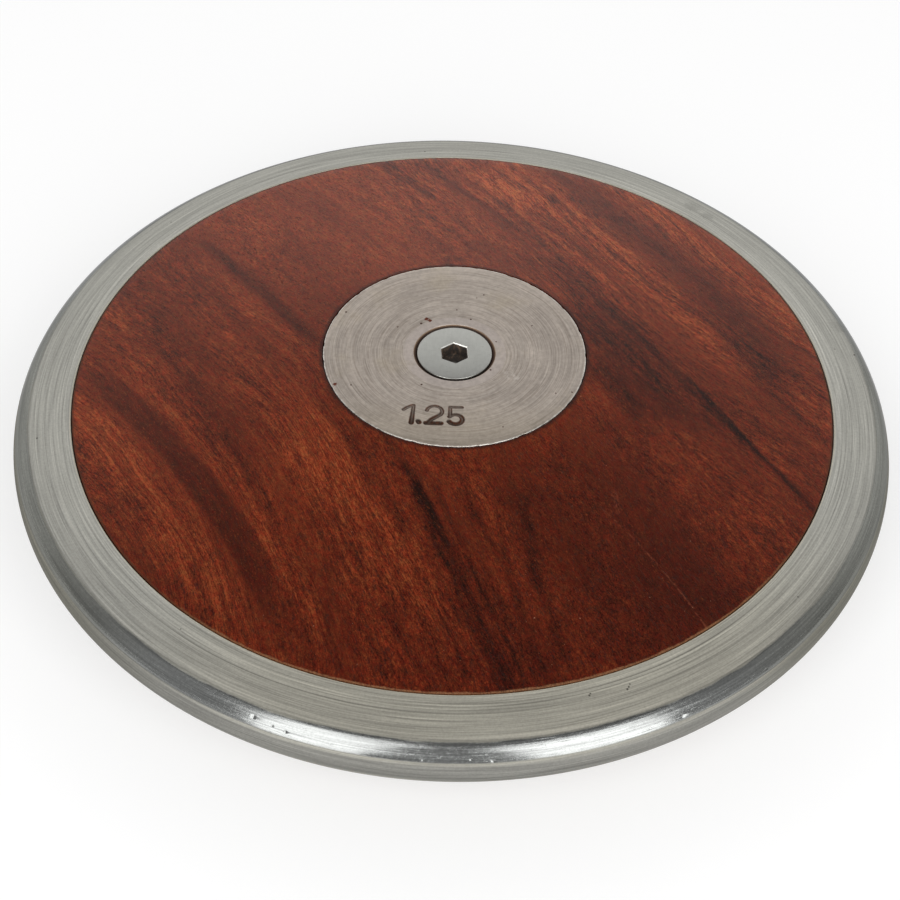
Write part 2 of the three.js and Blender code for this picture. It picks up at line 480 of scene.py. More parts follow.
@built_once
def turning_rings(name):
    """Tool marks round the Z axis that change slowly along the circle and have no seam."""
    sockets = {"Position": VECTOR, "Fineness": FLOAT, "Arc": FLOAT, "Detail": FLOAT}
    tree, entry, leave = new_group(name, sockets, "Rings")
    x, y, z = tree.split(entry["Position"])
    flat = tree.join(x, y)
    turn_x, turn_y, _ = tree.split(tree.vector("NORMALIZE", flat))
    across = tree.times(tree.vector("LENGTH", flat), entry["Fineness"])
    up = tree.times(z, entry["Fineness"])
    place = tree.join(across, up, tree.times(turn_x, entry["Arc"]))
    rings = tree.noise(place, detail=entry["Detail"], roughness=0.6, w=tree.times(turn_y, entry["Arc"]))
    tree.feed(leave, rings)
    return tree.node_tree


@built_once
def ring_band(name):
    """A soft band at one radius round the Z axis, with a wandering border."""
    sockets = {"Position": VECTOR, "Radius": FLOAT, "Half width": FLOAT, "Softness": FLOAT, "Wander": FLOAT}
    tree, entry, leave = new_group(name, sockets, "Mask")
    x, y, _ = tree.split(entry["Position"])
    wander = tree.swing(entry["Position"], 0.35, 4.0, 0.65)
    radius = tree.total(tree.vector("LENGTH", tree.join(x, y)), tree.times(wander, entry["Wander"], 4.0))
    distance = tree.math("ABSOLUTE", tree.minus(radius, entry["Radius"]))
    border = tree.total(entry["Half width"], entry["Softness"])
    tree.feed(leave, tree.smooth(distance, entry["Half width"], border, 1.0, 0.0))
    return tree.node_tree


@built_once
def spot(name):
    """One ragged round mark at a point."""
    sockets = {"Position": VECTOR, "Centre": VECTOR, "Radius": FLOAT, "Raggedness": FLOAT}
    tree, entry, leave = new_group(name, sockets, "Mask")
    ragged = tree.swing(entry["Position"], 2.3, 3.0, 0.6)
    distance = tree.vector("DISTANCE", entry["Position"], entry["Centre"])
    uneven = tree.total(distance, tree.times(ragged, entry["Raggedness"], entry["Radius"]))
    core = tree.times(entry["Radius"], 0.45)
    tree.feed(leave, tree.smooth(uneven, core, entry["Radius"], 1.0, 0.0))
    return tree.node_tree


@built_once
def speckle(name):
    """Scattered flecks, stretched by the three scales."""
    sockets = {"Position": VECTOR, "Scales": VECTOR, "Threshold": FLOAT, "Softness": FLOAT}
    tree, entry, leave = new_group(name, sockets, "Mask")
    place = tree.vector("MULTIPLY", entry["Position"], entry["Scales"])
    flecks = tree.noise(place, detail=3.0, roughness=0.55)
    full = tree.total(entry["Threshold"], entry["Softness"])
    tree.feed(leave, tree.smooth(flecks, entry["Threshold"], full))
    return tree.node_tree


@built_once
def below_face(name):
    """How far a point lies below a flat face, on the upper or the lower side."""
    sockets = {"Position": VECTOR, "Height": FLOAT, "Start": FLOAT, "Depth": FLOAT}
    tree, entry, leave = new_group(name, sockets, "Mask")
    _, _, z = tree.split(entry["Position"])
    depth = tree.minus(entry["Height"], tree.math("ABSOLUTE", z))
    tree.feed(leave, tree.smooth(depth, entry["Start"], entry["Depth"]))
    return tree.node_tree


@built_once
def grain_band(name):
    """A long soft band along the grain, straight or arched, that fades at both ends."""
    sockets = {
        "Position": VECTOR, "Start": FLOAT, "Stop": FLOAT, "Level": FLOAT, "Slope": FLOAT,
        "Arch": FLOAT, "Half width": FLOAT, "Softness": FLOAT,
    }
    tree, entry, leave = new_group(name, sockets, "Mask")
    along, across, _ = tree.split(entry["Position"])
    middle = tree.times(tree.total(entry["Start"], entry["Stop"]), 0.5)
    reach = tree.times(tree.minus(entry["Stop"], entry["Start"]), 0.5)
    share = tree.math("DIVIDE", tree.minus(along, middle), reach)
    rise = tree.times(share, entry["Slope"])
    bow = tree.times(share, share, entry["Arch"])
    distance = tree.math("ABSOLUTE", tree.minus(across, tree.total(entry["Level"], rise, bow)))
    border = tree.total(entry["Half width"], entry["Softness"])
    body = tree.smooth(distance, entry["Half width"], border, 1.0, 0.0)
    ends = tree.smooth(tree.math("ABSOLUTE", share), 0.5, 1.0, 1.0, 0.0)
    tree.feed(leave, tree.times(body, ends))
    return tree.node_tree


# Materials


def new_material(name):
    """A new material: itself, its tree and its Principled shader."""
    material = bpy.data.materials.new(name)
    material.use_nodes = True
    tree = Tree(material.node_tree)
    shader = tree.add("ShaderNodeBsdfPrincipled")
    tree.add("ShaderNodeOutputMaterial", {"Surface": shader.outputs["BSDF"]})
    return material, tree, shader


def millimetres(tree, rotation=(0.0, 0.0, 0.0), shift=(0.0, 0.0, 0.0)):
    """Object coordinates in millimetres, turned and then shifted."""
    coordinates = tree.add("ShaderNodeTexCoord").outputs["Object"]
    inputs = {"Vector": coordinates, "Scale": (1 / MM,) * 3, "Rotation": rotation, "Location": shift}
    return tree.add("ShaderNodeMapping", inputs).outputs["Vector"]


def finish_shader(tree, shader, colour, roughness, normal, metallic=None):
    """Links the changing inputs of a shader."""
    tree.feed(shader.inputs["Base Color"], colour)
    tree.feed(shader.inputs["Roughness"], roughness)
    tree.feed(shader.inputs["Normal"], normal)
    if metallic is not None:
        tree.feed(shader.inputs["Metallic"], metallic)


def tool_marks(tree, place, fineness, arc_detail, detail):
    """Turning marks: how close they lie, how soon they change along the circle, and the detail in them."""
    inputs = {"Position": place, "Fineness": fineness, "Arc": arc_detail, "Detail": detail}
    return tree.group(turning_rings(), inputs)


def ring_at(tree, place, radius, half_width, softness, wander):
    """A soft ring round the axis, measured in millimetres."""
    inputs = {
        "Position": place, "Radius": radius, "Half width": half_width, "Softness": softness, "Wander": wander,
    }
    return tree.group(ring_band(), inputs)


def specks(tree, place, scales, threshold, softness):
    """Scattered flecks, fewer of them at a higher threshold."""
    inputs = {"Position": place, "Scales": scales, "Threshold": threshold, "Softness": softness}
    return tree.group(speckle(), inputs)


def sunk_below(tree, place, height, start, depth):
    """Changes from nought to one between two depths below a face, in millimetres."""
    return tree.group(below_face(), {"Position": place, "Height": height, "Start": start, "Depth": depth})


def marks(tree, place, spots, raggedness):
    """The strongest of several round marks at ((x, y, z), radius)."""
    found = []
    for centre, radius in spots:
        inputs = {"Position": place, "Centre": centre, "Radius": radius, "Raggedness": raggedness}
        found.append(tree.group(spot(), inputs))
    return tree.most(*found)


def on_face(spots):
    """Marks at (x, y, radius) on the flat face."""
    return [((x, y, FACE_HEIGHT / MM), size) for x, y, size in spots]


def on_flank(spots):
    """Marks at (azimuth, radius, size) on the upper flank."""
    found = []
    for azimuth, radius, size in spots:
        turn = math.radians(azimuth)
        height = flank_height(radius * MM) / MM
        found.append(((radius * math.cos(turn), radius * math.sin(turn), height), size))
    return found


# The rim's polished band, in millimetres from the axis

POLISH_START = 91.35
POLISH_STOP = 94.27

# Directions: the front, where the painted shade in the rim's grooves is darkest, and where painted shade
# darkens its edge most, on the right and the left

DARK_GROOVE_SIDE = (0.17, -0.98, 0.0)
SHADED_EDGE_SIDE = (0.97, -0.26, 0.0)


# Colours of the rim's steel; the warmer front flank colour is painted light, the lower band, side edge and
# groove colours are painted shade, and the inner edge line is a painted highlight

FRONT_FLANK_LIGHT_TINT = (0.440, 0.422, 0.362)
LOWER_BAND_SHADE = (0.268, 0.264, 0.242)
SIDE_EDGE_SHADE = (0.76, 0.75, 0.70)
INNER_EDGE_HIGHLIGHT = (0.620, 0.590, 0.480)
POLISH_LINE = (0.090, 0.090, 0.080)
GROOVE_SHADE = (0.060, 0.058, 0.050)
SMUDGE = (0.130, 0.128, 0.118)
FLANK_STAIN = (0.060, 0.056, 0.046)


def rim_steel(settings):
    """Turned steel: a dull flank with tool marks and a polished, scuffed band round the edge."""
    material, tree, shader = new_material("turned rim steel")
    shader.inputs["Metallic"].default_value = 1.0
    shader.inputs["Specular Tint"].default_value = (0.6, 0.6, 0.6, 1.0)
    place = millimetres(tree)
    x, y, _ = tree.split(place)
    flat = tree.join(x, y)
    radius = tree.vector("LENGTH", flat)
    drift = tree.swing(place, 0.06, 3.0, 0.6)
    wandering = tree.total(radius, tree.times(drift, 1.2))
    start = tree.smooth(wandering, POLISH_START - 0.15, POLISH_START + 0.25)
    polished = tree.times(start, tree.smooth(radius, POLISH_STOP - 0.1, POLISH_STOP + 0.1, 1.0, 0.0))

    fine = tool_marks(tree, place, 4.4, 5.0, 3.0)
    medium = tool_marks(tree, place, 1.7, 2.8, 4.0)
    broad = tool_marks(tree, place, 0.5, 1.6, 2.0)
    dashes = tool_marks(tree, place, 4.6, 26.0, 3.0)
    scuffs = tree.times(tree.smooth(dashes, 0.56, 0.76), polished)
    grain = tree.noise(place, 2.2, 3.0, 0.7)
    outward = tree.vector("NORMALIZE", flat)
    front = tree.smooth(tree.vector("DOT_PRODUCT", outward, DARK_GROOVE_SIDE), 0.5, 0.99)
    mirrored = tree.vector("MULTIPLY", outward, tree.join(tree.math("SIGN", x), 1.0, 1.0))
    sides = tree.smooth(tree.vector("DOT_PRODUCT", mirrored, SHADED_EDGE_SIDE), 0.74, 0.96)
    inner = tree.smooth(radius, 88.0, 84.0, 0.0, 0.12)
    # Painted light: the front of the flank gets a warmer copy of its colour
    flank = tree.mix(front, tuple(settings.flank_colour), FRONT_FLANK_LIGHT_TINT)
    flank = tree.tint(flank, tree.total(inner, 0.5), 1.0)
    # Painted shade: past the polished band the edge gets a darker copy of the flank colour
    below = tree.smooth(radius, POLISH_STOP - 0.2, POLISH_STOP + 0.5)
    clean = tree.mix(polished, tree.mix(below, flank, LOWER_BAND_SHADE), tuple(settings.bead_colour))
    # Painted shade: the round edge is darker towards the left and right sides
    side_edge_shade = tree.times(sides, tree.smooth(radius, POLISH_START - 0.2, POLISH_START + 0.3))
    clean = tree.mix(side_edge_shade, clean, SIDE_EDGE_SHADE, "MULTIPLY")
    ringed = tree.tint(tree.tint(tree.tint(clean, fine, 1.30), medium, 0.75), broad, 0.40)
    grained = tree.tint(ringed, grain, tree.blend_value(polished, 0.50, 0.70))

    upper_line = ring_at(tree, place, POLISH_START - 0.05, 0.05, 0.45, 0.12)
    lower_line = ring_at(tree, place, POLISH_STOP, 0.03, 0.08, 0.02)
    lines = tree.times(tree.most(upper_line, lower_line), tree.smooth(medium, 0.35, 0.60, 0.20, 0.50))
    # Painted shade in the grooves and nicks, darkest on the front side
    groove_shade = tree.attribute("groove_shade")
    shade_darkened = tree.times(groove_shade, tree.total(0.28, tree.times(front, 0.40)))
    stains = marks(tree, place, on_flank(FLANK_MARKS), 1.6)
    smudge = marks(tree, place, on_flank(FLANK_SMUDGES), 2.2)
    grimy = tree.times(smudge, tree.smooth(fine, 0.42, 0.60, 0.05, 0.36))
    # Painted highlight along the rim's inner edge
    inner_edge_highlight = ring_at(tree, place, BAND_INNER / MM + 0.15, 0.12, 0.18, 0.05)
    bordered = tree.mix(tree.times(inner_edge_highlight, 0.55), grained, INNER_EDGE_HIGHLIGHT)
    lined = tree.mix(lines, bordered, POLISH_LINE)
    grooved = tree.mix(shade_darkened, lined, GROOVE_SHADE)
    smudged = tree.mix(grimy, grooved, SMUDGE)
    colour = tree.mix(tree.times(stains, 0.80), smudged, FLANK_STAIN)

    uneven = tree.times(tree.minus(medium, 0.5), tree.blend_value(polished, 0.25, 0.40))
    speckled = tree.times(tree.smooth(grain, 0.45, 0.65), polished, 0.05)
    roughness = tree.total(tree.blend_value(polished, 0.60, 0.16), uneven, tree.times(scuffs, 0.14), speckled)
    ridges = tree.bump(tree.total(medium, tree.times(fine, 0.4)), 0.016 * MM)
    normal = tree.bump(tree.times(scuffs, -1.0), 0.010 * MM, ridges)
    finish_shader(tree, shader, colour, roughness, normal)
    return material


# Pattern of the wood, in millimetres along and across the grain

# Bands and scratches: start, stop, level, slope, arch, half width, softness, strength
# Knots: along, across, size
UPPER_DARK_BANDS = (
    (-55, 55, 62.0, -1.0, -2.0, 2.5, 6.0, 0.16), (5, 42, 60.0, 0.5, -0.5, 2.0, 4.0, 0.10),
    (-25, 60, 38.6, 2.4, 0.3, 0.3, 1.6, 0.20), (26, 88, 41.8, 2.2, 1.0, 0.2, 1.1, 0.26),
    (36, 74, 41.8, 0.6, 0.4, 0.1, 0.6, 0.16), (0, 50, 34.0, 3.0, 0.0, 2.0, 7.0, 0.14),
    (-6, 46, 29.0, -3.0, 0.0, 3.0, 7.0, 0.16), (16, 36, 23.5, 1.0, 0.0, 0.8, 4.5, 0.20),
    (-80, -20, 37.5, 0.4, 0.6, 0.2, 1.3, 0.18), (-75, -5, 41.5, 0.8, 0.4, 0.2, 1.5, 0.14),
    (-80, -8, -22.6, -0.3, -0.9, 0.4, 2.0, 0.24), (0, 64, -27.6, -3.4, 0.4, 0.3, 1.3, 0.16),
    (14, 86, -31.5, -6.5, -0.6, 0.3, 1.6, 0.24), (20, 90, -29.0, -7.0, -0.9, 0.1, 1.0, 0.18),
    (26, 84, -34.0, -6.0, -0.4, 0.1, 0.8, 0.16), (36, 84, -24.8, -8.0, 2.4, 0.3, 1.2, 0.16),
    (34, 84, -19.0, -9.0, 3.4, 0.4, 1.6, 0.16), (10, 90, -29.0, -7.5, -1.0, 5.0, 8.0, 0.07),
    (-60, -20, -43.5, 0.8, 0.8, 1.0, 2.5, 0.10), (-80, 10, -48.0, -2.5, -1.0, 1.0, 3.5, 0.12),
    (-40, 70, -53.5, -2.0, -1.5, 0.8, 3.0, 0.10), (-56, 52, -61.0, -0.6, -4.6, 2.0, 1.8, 0.26),
    (24, 92, 2.0, -3.0, 2.0, 9.0, 16.0, 0.16), (34, 62, -15.0, -5.5, -1.5, 0.8, 3.0, 0.10),
    (28, 50, -21.5, -1.6, -0.5, 0.5, 1.8, 0.14), (-34, -12, 26.5, 1.0, -2.0, 1.5, 5.0, 0.10),
    (-84, -44, 29.0, 0.6, 0.8, 0.3, 1.4, 0.14), (-80, -38, 63.0, -1.0, 1.4, 0.4, 2.2, 0.16),
)
UPPER_LIGHT_BANDS = (
    (-75, 40, 54.0, 1.5, -1.0, 4.0, 6.0, 0.16), (-75, 20, 44.5, 0.8, 0.4, 2.0, 4.0, 0.14),
    (30, 82, 62.0, -2.0, -1.0, 2.0, 5.0, 0.08), (-20, 60, -38.5, -2.6, 0.0, 2.0, 5.0, 0.12),
    (-75, 0, -28.0, -0.2, -0.8, 0.8, 2.5, 0.10), (-52, 40, -70.5, -0.4, -3.4, 2.0, 3.0, 0.18),
    (18, 66, -18.0, -4.5, -2.0, 0.5, 2.2, 0.08), (24, 70, -23.5, -3.5, -1.4, 0.4, 1.6, 0.08),
    (-60, 70, -36.0, -2.2, -0.4, 0.6, 1.8, 0.10), (-45, 55, 76.0, 0.0, -2.5, 2.0, 4.0, 0.12),
    (-70, -20, 12.0, -6.0, 1.0, 2.0, 7.0, 0.06), (-100, -20, 6.0, 0.0, 0.0, 12.0, 14.0, 0.07),
)
UPPER_KNOTS = (
    (70.0, 21.9, 0.7), (71.2, 21.9, 0.7), (72.0, -21.5, 0.6), (62.4, -8.2, 0.6), (-28.5, 18, 1.4),
    (-36, 17, 1.2), (25.5, 23.0, 1.6), (28.0, 25.0, 1.8),
)
UPPER_SCRATCHES = ((44, 92, 4.8, 1.3, -2.6, 0.0, 0.38, 0.52), (47, 53, 5.8, -1.4, 0.0, 0.3, 0.7, 0.45))
LOWER_DARK_BANDS = (
    (-60, 40, 55.0, 1.6, -3.0, 2.0, 3.0, 0.20), (-80, 30, 36.0, -1.2, 0.8, 0.5, 1.8, 0.26),
    (-20, 70, -33.0, 2.6, -0.8, 0.6, 2.2, 0.28), (-70, -10, -41.0, 0.5, 1.2, 0.4, 1.6, 0.20),
    (-45, 60, -62.0, 1.0, 4.0, 2.4, 2.2, 0.26), (-90, -26, -4.0, 2.0, -2.0, 8.0, 14.0, 0.14),
    (-10, 75, 44.0, -2.4, 1.0, 0.3, 1.6, 0.18),
)
LOWER_LIGHT_BANDS = (
    (-60, 60, 47.0, 1.0, 0.0, 3.0, 6.0, 0.14), (-70, 40, -50.0, -1.5, 1.0, 4.0, 5.0, 0.14),
    (-40, 50, 70.0, 0.0, -3.0, 3.0, 4.0, 0.16), (10, 80, -26.0, 1.8, -1.0, 0.6, 2.2, 0.12),
)
LOWER_KNOTS = ((-34, -27, 4.0), (48, 26, 2.4), (-12, 40, 3.2))
LOWER_SCRATCHES = ((-62, -40, 12.0, 2.0, 0.0, 0.04, 0.3, 0.5),)

# Tones of the board at its dark end, before painted light makes the rest paler, from the darkest streak to
# the lightest
WOOD_TONES = (
    (0.00, (0.008, 0.0024, 0.0014)), (0.14, (0.022, 0.0040, 0.0018)), (0.32, (0.042, 0.0064, 0.0024)),
    (0.50, (0.065, 0.0096, 0.0032)), (0.66, (0.090, 0.0140, 0.0042)), (0.82, (0.120, 0.0205, 0.0060)),
    (1.00, (0.170, 0.0330, 0.0095)),
)

# Painted light and sheen, which make the board paler towards one end (on the upper side, the back): along
# which direction, from where to where, and what its tone is multiplied by

BACK_LIGHT_DIRECTION = (-0.903, 0.430, 0.0)
BACK_LIGHT_START = -78
BACK_LIGHT_STOP = 70
BACK_LIGHT_TONE = (2.75, 3.72, 3.90)


def add_bands(tree, place, bands):
    """The sum of several grain bands, each at its own strength."""
    found = 0.0
    for start, stop, level, slope, arch, half_width, softness, strength in bands:
        inputs = {
            "Position": place, "Start": start, "Stop": stop, "Level": level, "Slope": slope,
            "Arch": arch, "Half width": half_width, "Softness": softness,
        }
        found = tree.total(found, tree.times(tree.group(grain_band(), inputs), strength))
    return found


# Colours of the marks in the wood, and what a stain or a hue multiplies the wood's colour by; the seat colour
# is painted shade with dirt in the joint

WOOD_SPARK = (0.150, 0.0300, 0.0080)
RED_STAIN = (1.06, 0.76, 0.80)
REDDER_HUE = (1.0, 0.84, 0.87)
BROWNER_HUE = (1.0, 1.18, 1.14)
WOOD_PORE = (0.024, 0.0062, 0.0034)
WOOD_SCRATCH = (0.190, 0.050, 0.024)
WOOD_CHIP = (0.380, 0.180, 0.110)
SEAT_SHADE_AND_GRIME = (0.015, 0.007, 0.005)
BROWN_EDGE = (0.074, 0.028, 0.013)


def hardwood(name, settings, rotation, dark_bands, light_bands, knots, scratches):
    """Oiled red-brown hardwood, its streaks along the first axis of the turned coordinates."""
    material, tree, shader = new_material(name)
    shader.inputs["Specular IOR Level"].default_value = 0.10
    place = millimetres(tree, rotation)
    along, across, depth = tree.split(place)

    # The streaks spread towards one end of the board and a little towards the other
    spread = tree.times(tree.smooth(along, 0.0, 85.0), 0.28)
    spread = tree.total(spread, tree.times(tree.smooth(along, 0.0, -85.0), 0.10))
    sway = tree.swing(place, (0.014, 0.035, 0.03), 2.0, 0.5)
    ripple = tree.swing(place, (0.05, 0.12, 0.08), 3.0, 0.5)
    knotty = marks(tree, place, on_face(knots), 1.6)
    straight = tree.times(across, tree.inverse(spread))
    bent = tree.total(straight, tree.times(sway, 11.0), tree.times(ripple, 2.0), tree.times(knotty, 1.5))
    streaked = tree.join(along, bent, depth)
    waved = tree.join(along, tree.total(across, tree.times(ripple, 2.0)), depth)

    broad = tree.swing(streaked, (0.010, 0.06, 0.05), 3.0, 0.5)
    medium = tree.swing(streaked, (0.020, 0.50, 0.3), 4.0, 0.6)
    fibres = tree.swing(streaked, (0.10, 3.0, 1.6), 4.0, 0.65)
    strands = tree.swing(streaked, (0.06, 1.3, 0.8), 3.0, 0.6)
    flecks = tree.swing(streaked, (1.0, 3.4, 2.2), 3.0, 0.7)
    mottle = tree.swing(waved, (0.30, 0.60, 0.5), 4.0, 0.7)
    dust = tree.swing(place, (3.0, 4.0, 3.4), 2.0, 0.7)
    from_middle = tree.math("ABSOLUTE", tree.total(across, tree.times(sway, 20.0)))
    outside = tree.smooth(from_middle, 18.0, 34.0, 0.45, 1.0)

    # Long fibres show where painted light makes the board pale, fine flecks where it is dark
    slope = tree.vector("DOT_PRODUCT", place, BACK_LIGHT_DIRECTION)
    pale = tree.math("DIVIDE", tree.minus(slope, BACK_LIGHT_START), BACK_LIGHT_STOP - BACK_LIGHT_START, clamp=True)
    tone = tree.total(
        tree.times(medium, outside, 0.85), tree.times(strands, outside, 0.60),
        tree.times(fibres, outside, tree.blend_value(pale, 0.70, 1.35)),
        tree.times(flecks, tree.blend_value(pale, 1.15, 0.75)),
        tree.times(dust, tree.blend_value(pale, 1.15, 0.45)), tree.times(mottle, 0.80),
    )
    lively = tree.smooth(tree.noise(streaked, (0.012, 0.09, 0.07), 3.0, 0.6), 0.40, 0.62, 0.55, 1.15)
    tone = tree.total(0.50, tree.times(broad, 0.5), tree.times(tone, lively))
    streaky = tree.total(1.0, tree.times(tree.total(medium, fibres, flecks), 2.6))
    dark = add_bands(tree, waved, dark_bands)
    light = add_bands(tree, waved, light_bands)
    tone = tree.total(
        tone, tree.times(light, streaky), tree.times(dark, streaky, -1.0), tree.times(knotty, -0.30)
    )

    pores = specks(tree, streaked, (0.55, 3.4, 2.4), 0.59, 0.06)
    sparks = specks(tree, place, (1.4, 4.4, 2.6), 0.60, 0.08)
    chips = specks(tree, place, (1.9, 2.1, 2.0), 0.735, 0.03)
    lit = tree.mix(tree.times(sparks, 0.45), tree.ramp(tone, WOOD_TONES), WOOD_SPARK)
    # Painted light and sheen: the board's tone is multiplied paler towards one end
    back_lit_wood = tree.mix(pale, lit, BACK_LIGHT_TONE, "MULTIPLY")
    redness = tree.smooth(tree.noise(place, (0.5, 0.9, 0.8), 4.0, 0.75), 0.42, 0.60, 0.0, 0.9)
    bare = tree.mix(redness, back_lit_wood, RED_STAIN, "MULTIPLY")
    hue = tree.smooth(tree.noise(place, (1.2, 1.6, 1.4), 3.0, 0.7), 0.38, 0.62)
    bare = tree.mix(1.0, bare, tree.mix(hue, REDDER_HUE, BROWNER_HUE), "MULTIPLY")
    pored = tree.mix(tree.times(pores, 0.55), bare, WOOD_PORE)
    broken = tree.smooth(flecks, -0.06, 0.10, 0.08, 1.0)
    scratched = tree.mix(tree.times(add_bands(tree, place, scratches), broken), pored, WOOD_SCRATCH)
    chipped = tree.mix(tree.times(chips, 0.75), scratched, WOOD_CHIP)
    outward = tree.vector("NORMALIZE", millimetres(tree))
    facing = tree.vector("DOT_PRODUCT", outward, DARK_GROOVE_SIDE)
    # Painted shade round the plate seat, with dirt in the joint
    seat = ring_at(tree, place, PLATE_SEAT_RADIUS / MM, 0.15, 0.9, 0.25)
    shade_darkened = tree.mix(tree.times(seat, 0.65), chipped, SEAT_SHADE_AND_GRIME)
    worn_width = tree.smooth(facing, 0.8, -0.4, 0.10, 0.32)
    worn = ring_at(tree, place, SIDE_RADIUS / MM, worn_width, 0.35, 0.20)
    edge_band_share = tree.times(worn, tree.smooth(dust, -0.12, 0.10, 0.40, 0.90))
    edge_tone = tree.mix(tree.smooth(facing, 0.80, 0.55), tuple(settings.worn_colour), BROWN_EDGE)
    colour = tree.mix(edge_band_share, shade_darkened, edge_tone)

    roughness = tree.total(0.30, tree.times(flecks, 0.25), tree.times(pores, 0.20), tree.times(worn, 0.25))
    height = tree.total(tree.times(fibres, 0.4), tree.times(flecks, 0.5), tree.times(pores, -0.9))
    finish_shader(tree, shader, colour, roughness, tree.bump(height, 0.022 * MM))
    return material


# Colours of the plates' steel and its rust, with a painted highlight for the outer edge and painted shade
# deep in the countersink

BRIGHT_CUT = (0.560, 0.500, 0.440)
DARK_CUT = (0.220, 0.180, 0.145)
HOLE_RING = (0.445, 0.388, 0.352)
TAN_STAIN = (0.370, 0.315, 0.240)
BRIGHT_SMEAR = (0.620, 0.570, 0.520)
EDGE_HIGHLIGHT = (0.720, 0.680, 0.630)
PIT = (0.055, 0.022, 0.012)
DARK_RUST = (0.020, 0.006, 0.003)
LIGHT_RUST = (0.180, 0.036, 0.014)
STAMP_FLOOR = (0.032, 0.013, 0.006)
STAMP_RUST = ((0.38, (0.010, 0.005, 0.003)), (0.66, (0.095, 0.030, 0.012)))
HOLE_MOUTH = (0.200, 0.125, 0.070)
HOLE_SHADE = (0.010, 0.006, 0.004)
RUSTY_HOLE = (0.060, 0.024, 0.012)


def plate_steel(name, settings, rotation):
    """Faced steel with fine turning arcs, a smooth ring round the hole, pits, stains and rust."""
    material, tree, shader = new_material(name)
    shader.inputs["Specular IOR Level"].default_value = 0.15
    place = millimetres(tree, rotation)
    face = FACE_HEIGHT / MM
    x, y, _ = tree.split(place)
    radius = tree.vector("LENGTH", tree.join(x, y))
    fine = tool_marks(tree, place, 4.8, 2.6, 2.0)
    medium = tool_marks(tree, place, 2.2, 1.8, 3.0)
    broad = tool_marks(tree, place, 0.35, 1.4, 2.0)
    smooth_ring = ring_at(tree, place, 9.8, 0.9, 0.5, 0.05)
    # Painted highlight along the plate's outer edge
    edge_highlight = ring_at(tree, place, PLATE_RADIUS / MM, 0.14, 0.25, 0.06)
    stains = tree.noise(place, 0.07, 4.0, 0.6)
    mottle = tree.noise(place, 0.9, 4.0, 0.7)
    arcs = tree.smooth(medium, 0.55, 0.64)
    ringed = tree.tint(tree.tint(tuple(settings.colour), fine, 1.10), broad, 0.45)
    cut = tree.mix(tree.times(arcs, 0.38), ringed, BRIGHT_CUT)
    cut = tree.mix(tree.smooth(medium, 0.45, 0.36, 0.0, 0.38), cut, DARK_CUT)
    faced = tree.mix(tree.times(smooth_ring, 0.85), cut, HOLE_RING)
    front_tan = tree.smooth(y, -12.0, -24.0, 0.0, 0.38)
    tan = tree.most(tree.smooth(stains, 0.52, 0.68, 0.0, 0.45), front_tan)
    tanned = tree.mix(tan, faced, TAN_STAIN)
    stained = tree.tint(tree.tint(tanned, stains, 0.35), mottle, 0.65)
    smear = marks(tree, place, on_face(PLATE_SMEARS), 1.8)
    smeared = tree.mix(tree.times(smear, tree.smooth(mottle, 0.42, 0.60), 0.40), stained, BRIGHT_SMEAR)
    # The painted highlight on the outer edge, broken up by the mottle
    edge_band_share = tree.times(edge_highlight, tree.smooth(mottle, 0.38, 0.58, 0.20, 0.90))
    edged = tree.mix(edge_band_share, smeared, EDGE_HIGHLIGHT)

    pits = marks(tree, place, on_face(PLATE_PITS), 0.8)
    rusted = marks(tree, place, on_face(PLATE_RUST), 1.5)
    rust_tone = tree.ramp(mottle, STAMP_RUST)
    pitted = tree.mix(pits, edged, PIT)
    spotted = tree.mix(rusted, pitted, tree.mix(mottle, DARK_RUST, LIGHT_RUST))

    # The stamped strokes: uneven rust on their walls and one dark tone on their floors
    stroke_wall = tree.attribute("stroke_wall")
    stroke_floor = tree.attribute("stroke_floor")
    stamped = tree.mix(tree.times(stroke_floor, 0.95), spotted, STAMP_FLOOR)
    walled = tree.mix(tree.times(stroke_wall, tree.smooth(mottle, 0.36, 0.52, 0.70, 1.0)), stamped, rust_tone)
    lip = sunk_below(tree, place, face, 0.04, 0.14)
    inside_hole = tree.smooth(radius, 9.6, 9.0)
    # Painted shade: the countersink's wall darkens deeper down, with rust mixed in
    deep = sunk_below(tree, place, face, 0.16, 0.32)
    hole_rust_and_shade = tree.mix(deep, HOLE_MOUTH, tree.mix(stains, HOLE_SHADE, RUSTY_HOLE))
    wall = tree.times(lip, inside_hole)
    colour = tree.mix(tree.times(wall, 0.95), walled, hole_rust_and_shade)

    stroke = tree.most(stroke_wall, tree.times(stroke_floor, 1.2))
    dull = tree.most(tree.most(stroke, wall), tree.most(rusted, pits))
    metallic = tree.math("SUBTRACT", 1.0, dull, clamp=True)
    uneven = tree.times(tree.minus(medium, 0.5), 0.25)
    roughness = tree.total(0.46, uneven, tree.times(dull, 0.25), tree.times(smooth_ring, -0.06))
    quiet = tree.inverse(tree.times(smooth_ring, 0.75))
    ridges = tree.bump(tree.times(tree.total(medium, fine), quiet), 0.008 * MM)
    pocked = tree.bump(tree.total(tree.times(pits, -1.0), tree.times(rusted, -0.5)), 0.12 * MM, ridges)
    normal = tree.bump(mottle, 0.008 * MM, pocked)
    finish_shader(tree, shader, colour, roughness, normal, metallic)
    return material


# Colours of the plated screws, the grease in their sockets and the painted highlight on their bevels

PLATING_SCRATCH = (0.220, 0.215, 0.190)
GREASE = ((0.40, (0.012, 0.007, 0.004)), (0.56, (0.054, 0.030, 0.017)), (0.70, (0.210, 0.130, 0.080)))
PLATING_FLECK = (0.180, 0.170, 0.140)
SOCKET_BEVEL_HIGHLIGHT = (0.860, 0.850, 0.800)


